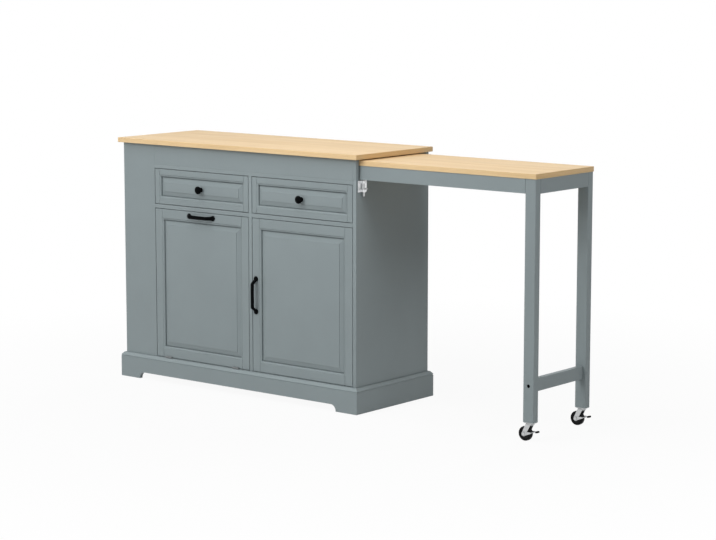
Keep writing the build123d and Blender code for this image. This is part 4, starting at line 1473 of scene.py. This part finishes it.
@dataclass
class CasterPlates:
    """The plates under the legs, each with its kingpin.

    Attributes:
        width: Width of a plate, from front to back.
        corner: Corner radius of a plate.
        thickness: Thickness of a plate.
        rim: Radius of its rims.
        pin_head: Radius and height rows of a kingpin's head in millimetres, from its foot.
        pin_top: Radius and height of the kingpin's top in millimetres, from the plate's top.
    """

    width: float = 26.0 * MM
    corner: float = 3.0 * MM
    thickness: float = 2.4 * MM
    rim: float = 0.5 * MM
    pin_head: Rows = ((TIP, 0.0), (6.2, 0.0), (7.0, 0.6), (7.0, 2.0), (4.0, 2.0))
    pin_top: Pair = (4.0, -1.0)

    def build(self) -> None:
        """Build both plates with their kingpins."""
        low, high = node_box("caster_plates")
        x, y, z = (axis.vector for axis in Axis)
        half = np.array([high[0] - low[0], self.width]) / 2
        outline = rectangle_outline(-half, half, self.corner, samples=40)
        pin_long = (high[2] - low[2]) / MM
        pin = np.vstack([np.array(self.pin_head) - [0.0, pin_long], self.pin_top]) * MM
        sheet = plate(outline, self.thickness, self.rim)
        surfaces: list[Surface] = []
        for middle in (low[1] + half[1], high[1] - half[1]):
            seat = np.array([(low[0] + high[0]) / 2, middle, high[2]])
            surfaces.append(sheet.placed(seat - z * self.thickness, x, y, z))
            surfaces.append(turned(pin, seat, z, around=36))
        add_piece("caster_top_plates", surfaces, [CASTER_STEEL], "table", "caster_plates")


@dataclass
class Caster:
    """A swivel caster with a brake lever. Rows and circles are in millimetres.

    Attributes:
        leg: The leg that it is under.
        tyre: Radius and height rows of the tyre's one side, from the hub to the middle of the tread.
        dish: Radius and height rows of the hub's one side, from the bore to the tyre.
        crown: Radius and height rows of the fork's crown with its two race rings, below the swivel's top.
        arm_roots: The two circles at an arm's top, from the swivel's top: their x, z and radius.
        arm_eye: Radius of an arm's eye round the axle.
        arm_rim: Radius of an arm's rims.
        steel: Thickness of the fork's arms.
        arm_gap: From the wheel's side to an arm.
        axle_end: Radius and height rows of the axle's domed head.
        lift: Tilt of the brake lever at rest, in degrees.
        cheek: Radius of a lever cheek round the axle and at its far end.
        cheek_rim: Radius of a cheek's rims.
        lever_steel: Thickness of the lever's cheeks.
        lever_gap: From an arm to a cheek.
        tread_gap: From the tread to the bar that joins the cheeks.
        bar: Length and thickness of that bar.
        tongue: Width and thickness of the lever's tongue.
        tongue_laps: How far the tongue starts past the bar's start and ends before the pad's end.
        pad: Length, width and thickness of the black pad.
        lever_ease: Radius of the bar's and the tongue's edges.
        pad_ease: Radius of the pad's edges.
        solid_pad: Thickness of the pad in the solids, whose corner is the lever's farthest point.
        hub: Middle of the wheel.
        radius: Radius of the wheel.
        half: Half the wheel's width.
        pivot: Top of the fork on the swivel's axis.
    """

    leg: Leg
    tyre: Rows = (
        (16.6, 7.2), (17.2, 8.9), (18.6, 9.4), (21.4, 9.3), (23.6, 7.9), (24.6, 6.0), (24.95, 3.0),
        (25.0, 0.0),
    )
    dish: Rows = (
        (4.06, 8.6), (7.6, 8.6), (8.4, 8.2), (8.8, 6.9), (9.6, 6.4), (15.2, 6.6), (16.0, 7.0), (16.55, 7.2),
    )
    crown: Rows = (
        (4.06, 0.0), (13.6, 0.0), (14.7, -0.5), (15.0, -1.4), (14.6, -2.2), (13.8, -2.5), (13.9, -2.9),
        (14.8, -3.4), (14.9, -4.4), (13.6, -5.6), (12.0, -6.0), (4.06, -6.0),
    )
    arm_roots: tuple[tuple[float, float, float], ...] = ((-9.0, -3.4, 2.2), (6.0, -3.4, 2.2))
    arm_eye: float = 8.4
    arm_rim: float = 0.6 * MM
    steel: float = 2.5 * MM
    arm_gap: float = 1.0 * MM
    axle_end: Rows = ((TIP, 0.0), (2.6, 0.15), (4.9, 0.7), (6.1, 1.5), (6.5, 2.4), (6.4, 3.0), (4.0, 3.0))
    lift: float = 12.0
    cheek: Pair = (7.2 * MM, 2.8 * MM)
    cheek_rim: float = 0.4 * MM
    lever_steel: float = 1.5 * MM
    lever_gap: float = 0.4 * MM
    tread_gap: float = 2.0 * MM
    bar: Pair = (4.0 * MM, 3.0 * MM)
    tongue: Pair = (11.0 * MM, 2.0 * MM)
    tongue_laps: Pair = (1.0 * MM, 2.0 * MM)
    pad: tuple[float, float, float] = (10.0 * MM, 13.0 * MM, 6.4 * MM)
    lever_ease: float = 0.5 * MM
    pad_ease: float = 1.5 * MM
    solid_pad: float = 7.0 * MM
    hub: Array = field(init=False)
    radius: float = field(init=False)
    half: float = field(init=False)
    pivot: Array = field(init=False)

    def __post_init__(self) -> None:
        """Find the wheel and the top of the swivel in the frame."""
        low, high = node_box(f"{self.name}_caster_wheel")
        leg_low, leg_high = node_box(f"{self.name}_leg")
        _, fork_high = node_box(f"{self.name}_caster_fork")
        self.hub = (low + high) / 2
        self.radius, self.half = (high[0] - low[0]) / 2, (high[1] - low[1]) / 2
        self.pivot = np.array([(leg_low[0] + leg_high[0]) / 2, self.hub[1], fork_high[2]])

    @property
    def name(self) -> str:
        """The leg's name, which the caster's nodes and bodies start with."""
        return self.leg.value

    def build(self) -> None:
        """Build the wheel, the fork, the axle and the brake lever."""
        self.build_wheel()
        self.build_fork()
        self.build_axle()
        self.build_brake()

    def build_wheel(self) -> None:
        """Turn the tyre with rounded shoulders and a dished hub, both round the axle's bore."""
        sides = (both_sides(flowing(self.tyre, samples=5)), both_sides(np.array(self.dish)))
        surfaces = [
            turned(rows * MM, self.hub, Axis.Y.vector, around=72, slot=slot, bored=True)
            for slot, rows in enumerate(sides)
        ]
        node = f"{self.name}_caster_wheel"
        add_piece(f"{self.name}_caster_tyre", surfaces, [RUBBER, HUB_PLASTIC], f"{self.name}_wheel", node)

    def build_fork(self) -> None:
        """Turn the crown with its two race rings, and cut the two arms as the hull of three circles."""
        x, y, z = (axis.vector for axis in Axis)
        surfaces = [turned(np.array(self.crown) * MM, self.pivot, z, around=56, bored=True)]
        trail, _, drop = (self.hub - self.pivot) / MM
        outline = hull_outline([(trail, drop, self.arm_eye), *self.arm_roots], samples=72) * MM
        arm = plate(outline, self.steel, self.arm_rim)
        inner = self.half + self.arm_gap
        for rear_face in (inner + self.steel, -inner):
            surfaces.append(arm.placed(self.pivot + y * rear_face, x, z, -y))
        node = f"{self.name}_caster_fork"
        add_piece(f"{self.name}_caster_yoke", surfaces, [CASTER_STEEL], f"{self.name}_caster", node)

    def build_axle(self) -> None:
        """Turn the axle, with a domed head at each end."""
        node = f"{self.name}_caster_axle"
        low, high = node_box(node)
        head = np.array(self.axle_end)
        far_head = [0.0, (high[1] - low[1]) / MM] + head[::-1] * [1, -1]
        start = np.array([self.hub[0], low[1], self.hub[2]])
        pin = turned(np.vstack([head, far_head]) * MM, start, Axis.Y.vector, around=40)
        add_piece(f"{self.name}_caster_pin", [pin], [CASTER_STEEL], f"{self.name}_caster", node)

    def build_brake(self) -> None:
        """Cut the lever's two cheeks, join them past the tread, and put a black pad on its tongue."""
        node = f"{self.name}_caster_brake"
        _, high = node_box(node)
        tilt = math.radians(self.lift)
        along = np.array([math.cos(tilt), 0.0, math.sin(tilt)])
        up = np.array([-math.sin(tilt), 0.0, math.cos(tilt)])
        y = Axis.Y.vector

        def straight(start: float, end: float, size: Sequence[float], ease: float, slot: int = 0) -> Surface:
            """Make a straight piece of the lever.

            Args:
                start: Where it starts, along the lever from the axle.
                end: Where it ends.
                size: Its width and thickness.
                ease: Radius of its edges.
                slot: Material slot.

            Returns:
                The piece in the shared frame.
            """
            half = np.array([0.0, size[0] / 2, size[1] / 2])
            piece = board(np.array([start, 0.0, 0.0]) - half, np.array([end, 0.0, 0.0]) + half, ease, slot)
            return piece.placed(self.hub, along, y, up)

        inner = self.half + self.arm_gap + self.steel + self.lever_gap
        outer = inner + self.lever_steel
        start = self.radius + self.tread_gap
        outline = hull_outline([(0.0, 0.0, self.cheek[0]), (start, 0.0, self.cheek[1])], samples=64)
        cheek = plate(outline, self.lever_steel, self.cheek_rim)
        corner_height = self.solid_pad / 2 - self.pad_ease
        far = high[0] - self.hub[0] - self.pad_ease - corner_height * math.sin(tilt)
        reach = far / math.cos(tilt) + self.pad_ease
        bar_long, bar_thick = self.bar
        tongue_start, tongue_end = start + self.tongue_laps[0], reach - self.tongue_laps[1]
        surfaces = [cheek.placed(self.hub + y * rear_face, along, up, -y) for rear_face in (outer, -inner)]
        surfaces += [
            straight(start, start + bar_long, (2 * outer, bar_thick), self.lever_ease),
            straight(tongue_start, tongue_end, self.tongue, self.lever_ease),
            straight(reach - self.pad[0], reach, self.pad[1:], self.pad_ease, slot=1),
        ]
        add_piece(f"{self.name}_brake_lever", surfaces, [CASTER_STEEL, RUBBER], f"{self.name}_brake", node)


@dataclass
class Latch:
    """The zinc latch under the table's front apron.

    Attributes:
        corner: Corner radius of its plate.
        plate_thick: Thickness of its plate.
        rim: Radius of the plate's rims.
        strap_thick: Thickness of its two straps.
        strap_tall: Height of a strap.
        strap_root: How far above the plate's back a strap starts.
        strap_power: Power of a strap's section, which is nearly square.
        screw: The heads of its screws.
        screw_shank: Radius of a screw's shank.
        screw_point: Length of its point.
        screw_lap: How far the shank goes into the head.
        bolt: Radius and height rows of the bolt in millimetres, cut flat at the top of its CAD node.
        grip: Radius and height rows of the bolt's grip in millimetres.
        grip_gap: From the lower strap to the grip's middle.
    """

    corner: float = 3.0 * MM
    plate_thick: float = 2.0 * MM
    rim: float = 0.5 * MM
    strap_thick: float = 2.6 * MM
    strap_tall: float = 10.0 * MM
    strap_root: float = 1.0 * MM
    strap_power: float = 7.0
    screw: CrossScrew = CrossScrew(3.6 * MM, 1.8 * MM)
    screw_shank: float = 1.9 * MM
    screw_point: float = 1.5 * MM
    screw_lap: float = 0.2 * MM
    bolt: Rows = (
        (TIP, 0.0), (2.6, 0.1), (3.7, 1.1), (4.0, 2.6), (4.0, 10.0), (4.0, 46.0), (4.0, 54.2), (3.6, 56.2),
        (2.4, 57.0), (TIP, 57.0),
    )
    grip: Rows = (
        (TIP, 0.0), (2.1, 0.2), (2.2, 4.0), (2.2, 9.0), (2.9, 11.0), (3.0, 14.0), (2.7, 16.2), (1.6, 17.0),
        (TIP, 17.0),
    )
    grip_gap: float = 3.3 * MM

    def build(self) -> None:
        """Build the plate with its straps, the screws and the bolt."""
        low, high = node_box("latch_housing")
        bolt_low, bolt_high = node_box("latch_bolt")
        radius = (bolt_high[1] - bolt_low[1]) / 2
        axis = bolt_low + radius * (Axis.X.vector + Axis.Y.vector)
        self.build_plate(low, high, axis)
        self.build_screws(low[0] + self.plate_thick)
        bolt = held_profile(flowing(self.bolt) * MM, radius, bolt_high[2] - bolt_low[2])
        grip = held_profile(flowing(self.grip) * MM, *np.max(self.grip, axis=0) * MM)
        grip_seat = np.array([axis[0], axis[1], low[2] + self.strap_tall + self.grip_gap])
        surfaces = [
            turned(bolt, axis, Axis.Z.vector, around=40),
            turned(grip, grip_seat, Axis.X.vector, around=32),
        ]
        add_piece("latch_round_bolt", surfaces, [CASTER_STEEL], "latch_bolt", "latch_bolt")

    def build_plate(self, low: Array, high: Array, axis: Array) -> None:
        """Cut the plate, and bend its two straps round the bolt: two straight runs and a half circle.

        Args:
            low: Lowest corner of the housing.
            high: Highest corner of the housing.
            axis: A point on the bolt's axis.
        """
        x, y, z = (direction.vector for direction in Axis)
        outline = rectangle_outline(low[1:], high[1:], self.corner, samples=40)
        surfaces = [plate(outline, self.plate_thick, self.rim).placed(x * low[0], y, z, x)]
        bend = high[0] - axis[0] - self.strap_thick / 2
        turn = np.linspace(-np.pi / 2, np.pi / 2, BEND_POINTS)
        run = np.linspace(low[0] + self.strap_root, axis[0], RUN_POINTS, endpoint=False)
        flat = np.vstack([
            np.stack([run, np.full(len(run), axis[1] - bend)], -1),
            np.stack([axis[0] + bend * np.cos(turn), axis[1] + bend * np.sin(turn)], -1),
            np.stack([run[::-1], np.full(len(run), axis[1] + bend)], -1),
        ])
        halves = np.broadcast_to([self.strap_tall / 2, self.strap_thick / 2], flat.shape)
        for level in (low[2] + self.strap_tall / 2, high[2] - self.strap_tall / 2):
            path = np.column_stack([flat, np.full(len(flat), level)])
            surfaces.append(swept(path, z, halves, self.strap_power, around=32))
        add_piece("latch_plate", surfaces, [ZINC], "cabinet", "latch_housing")

    def build_screws(self, face: float) -> None:
        """Build the four screws, each a shank in the panel and a crossed head on the plate.

        Args:
            face: Where the plate's outer face is, along X.
        """
        low, high = node_box("latch_screws")
        edge, out = self.screw.radius, Axis.X.vector
        point = low[0] - face
        rows = (
            (TIP * MM, point),
            (self.screw_shank, point + self.screw_point),
            (self.screw_shank, self.screw_lap),
        )
        screws: list[Surface] = []
        for y in (low[1] + edge, high[1] - edge):
            for z in (low[2] + edge, high[2] - edge):
                seat = np.array([face, y, z])
                screws += [self.screw.surface(seat, out), turned(np.array(rows), seat, out, around=20)]
        add_piece("latch_crossed_screws", screws, [ZINC], "cabinet", "latch_screws")


# The studio


@dataclass(frozen=True)
class Softbox:
    """A square soft lamp, whose glare is kept off glossy surfaces.

    Attributes:
        name: Its name.
        place: Where it hangs.
        aim: The point that it faces.
        size: Its side.
        power: Its power in watts.
    """

    name: str
    place: tuple[float, float, float]
    aim: tuple[float, float, float]
    size: float
    power: float

    def build(self) -> None:
        """Hang the lamp in the scene."""
        light = bpy.data.lights.new(self.name, "AREA")
        light.shape, light.size, light.energy = "SQUARE", self.size, self.power
        lamp = bpy.data.objects.new(self.name, light)
        lamp.location = self.place
        lamp.rotation_euler = (Vector(self.aim) - Vector(self.place)).to_track_quat("-Z", "Y").to_euler()
        lamp.visible_glossy = False
        bpy.context.scene.collection.objects.link(lamp)


@dataclass
class Studio:
    """The pale floor, the white surround, the soft lamps and the camera.

    Attributes:
        ambient: Strength of the white surround as light.
        floor_reach: Half the floor's side.
        floor_level: Its height, a hair below the wheels.
        floor_tone: How much light it gives back.
        shadow_ends: How far from the middle its shadow starts to fade, and where it is gone.
        shadow_share: How white it is under the object, where the shadow shows most.
        lamps: The soft lamps.
        camera_place: Where the camera stands.
        yaw: Its turn to the left of the +Y direction, in degrees.
        pitch: Its tilt downwards, in degrees.
        lens: Its focal length, in millimetres.
        sensor: Width of its sensor, in millimetres.
        sight: The nearest and the farthest that it sees.
    """

    ambient: float = 0.05
    floor_reach: float = 40.0
    floor_level: float = -0.4 * MM
    floor_tone: float = 0.6
    shadow_ends: Pair = (0.8, 2.4)
    shadow_share: float = 0.93
    lamps: tuple[Softbox, ...] = (
        Softbox("key_softbox", (-1.4, -5.6, 3.3), (0.0, 0.0, 0.45), 3.0, 162.0),
        Softbox("top_softbox", (0.15, -1.3, 2.8), (0.1, 0.0, 0.3), 2.4, 46.0),
        Softbox("side_softbox", (4.4, -0.6, 2.9), (0.3, 0.0, 0.4), 1.6, 61.0),
        Softbox("rear_softbox", (-0.6, 5.2, 1.7), (0.0, 0.0, 0.45), 2.4, 170.0),
        Softbox("left_softbox", (-5.2, -0.4, 1.7), (-0.9, 0.0, 0.45), 2.0, 110.0),
    )
    camera_place: tuple[float, float, float] = (4.96563, -6.04455, 1.61616)
    yaw: float = 39.16
    pitch: float = 8.31
    lens: float = 109.436
    sensor: float = 36.0
    sight: Pair = (0.1, 100.0)

    def build(self) -> None:
        """Build the floor, the surround, the lamps and the camera."""
        scene = bpy.context.scene
        scene.view_settings.view_transform = "Standard"
        self.build_floor(scene)
        self.build_surround(scene)
        for lamp in self.lamps:
            lamp.build()
        self.build_camera(scene)

    def build_floor(self, scene: bpy.types.Scene) -> None:
        """Lay a broad pale floor that keeps the object's shadow and runs into the white surround.

        Args:
            scene: The scene.
        """
        square = self.floor_reach * np.array([(-1, -1), (1, -1), (1, 1), (-1, 1)])
        corners = np.column_stack([square, np.full(len(square), self.floor_level)])
        mesh = bpy.data.meshes.new("studio_floor")
        mesh.from_pydata(corners.tolist(), [], [range(len(square))])
        material = bpy.data.materials.new("white_floor")
        material.use_nodes = True
        shader = Shader(material.node_tree)
        matt = shader.add("BsdfDiffuse", {"Color": (*[self.floor_tone] * 3, 1.0)})
        glow = shader.add("Emission", {"Color": (1.0, 1.0, 1.0, 1.0), "Strength": 1.0})
        place = shader.add("TexCoord").outputs["Object"]
        away = shader.add("VectorMath", {0: place}, operation="LENGTH").outputs["Value"]
        white = shader.span(away, self.shadow_ends, (self.shadow_share, 1.0))
        share = shader.calc(Sum.MULTIPLY, self.seen_ray(shader), white)
        both = shader.add("MixShader", {0: share, 1: matt.outputs[0], 2: glow.outputs[0]})
        shader.add("OutputMaterial", {"Surface": both.outputs[0]})
        mesh.materials.append(material)
        floor = bpy.data.objects.new("studio_floor", mesh)
        scene.collection.objects.link(floor)

    def build_surround(self, scene: bpy.types.Scene) -> None:
        """Make the world white where it is seen, and a plain soft light elsewhere.

        Args:
            scene: The scene.
        """
        world = bpy.data.worlds.new("white_surround")
        world.use_nodes = True
        shader = Shader(world.node_tree)
        strength = shader.span(self.seen_ray(shader), (0.0, 1.0), (self.ambient, 1.0))
        white = shader.add("Background", {"Color": (1.0, 1.0, 1.0, 1.0), "Strength": strength})
        shader.add("OutputWorld", {"Surface": white.outputs[0]})
        scene.world = world

    def seen_ray(self, shader: Shader) -> Socket:
        """Tell rays that show the background from rays that light the object.

        Args:
            shader: The tree to write in.

        Returns:
            1 for camera, glossy and transmission rays, else 0.
        """
        rays = shader.add("LightPath")
        shown = shader.calc(Sum.MAXIMUM, rays.outputs["Is Camera Ray"], rays.outputs["Is Glossy Ray"])
        return shader.calc(Sum.MAXIMUM, shown, rays.outputs["Is Transmission Ray"])

    def build_camera(self, scene: bpy.types.Scene) -> None:
        """Set the camera up at the photograph's viewing angle, with no lens shift.

        Args:
            scene: The scene.
        """
        optics = bpy.data.cameras.new("studio_camera")
        optics.lens, optics.sensor_width, optics.sensor_fit = self.lens, self.sensor, "HORIZONTAL"
        optics.clip_start, optics.clip_end = self.sight
        camera = bpy.data.objects.new("studio_camera", optics)
        yaw, pitch = math.radians(self.yaw), math.radians(self.pitch)
        level = math.cos(pitch)
        forward = Vector((-math.sin(yaw) * level, math.cos(yaw) * level, -math.sin(pitch)))
        camera.location = self.camera_place
        camera.rotation_euler = forward.to_track_quat("-Z", "Y").to_euler()
        scene.collection.objects.link(camera)
        scene.camera = camera


def main() -> None:
    """Build every sub-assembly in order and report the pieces."""
    logging.basicConfig(level=logging.INFO, format="%(name)s: %(message)s")
    sub_assemblies = (
        Studio(),
        Carcass(),
        Plinth(),
        Door("tilt_door", {"tilt_hinge_leaves": DULL_STEEL, "bin_cradle": BIRCH}),
        Door("cupboard_door"),
        *(Drawer(hand) for hand in Hand),
        PullOutTable(),
        CasterPlates(),
        *(Caster(leg) for leg in Leg),
        Latch(),
    )
    for sub_assembly in sub_assemblies:
        sub_assembly.build()


if __name__ == "__main__":
    main()
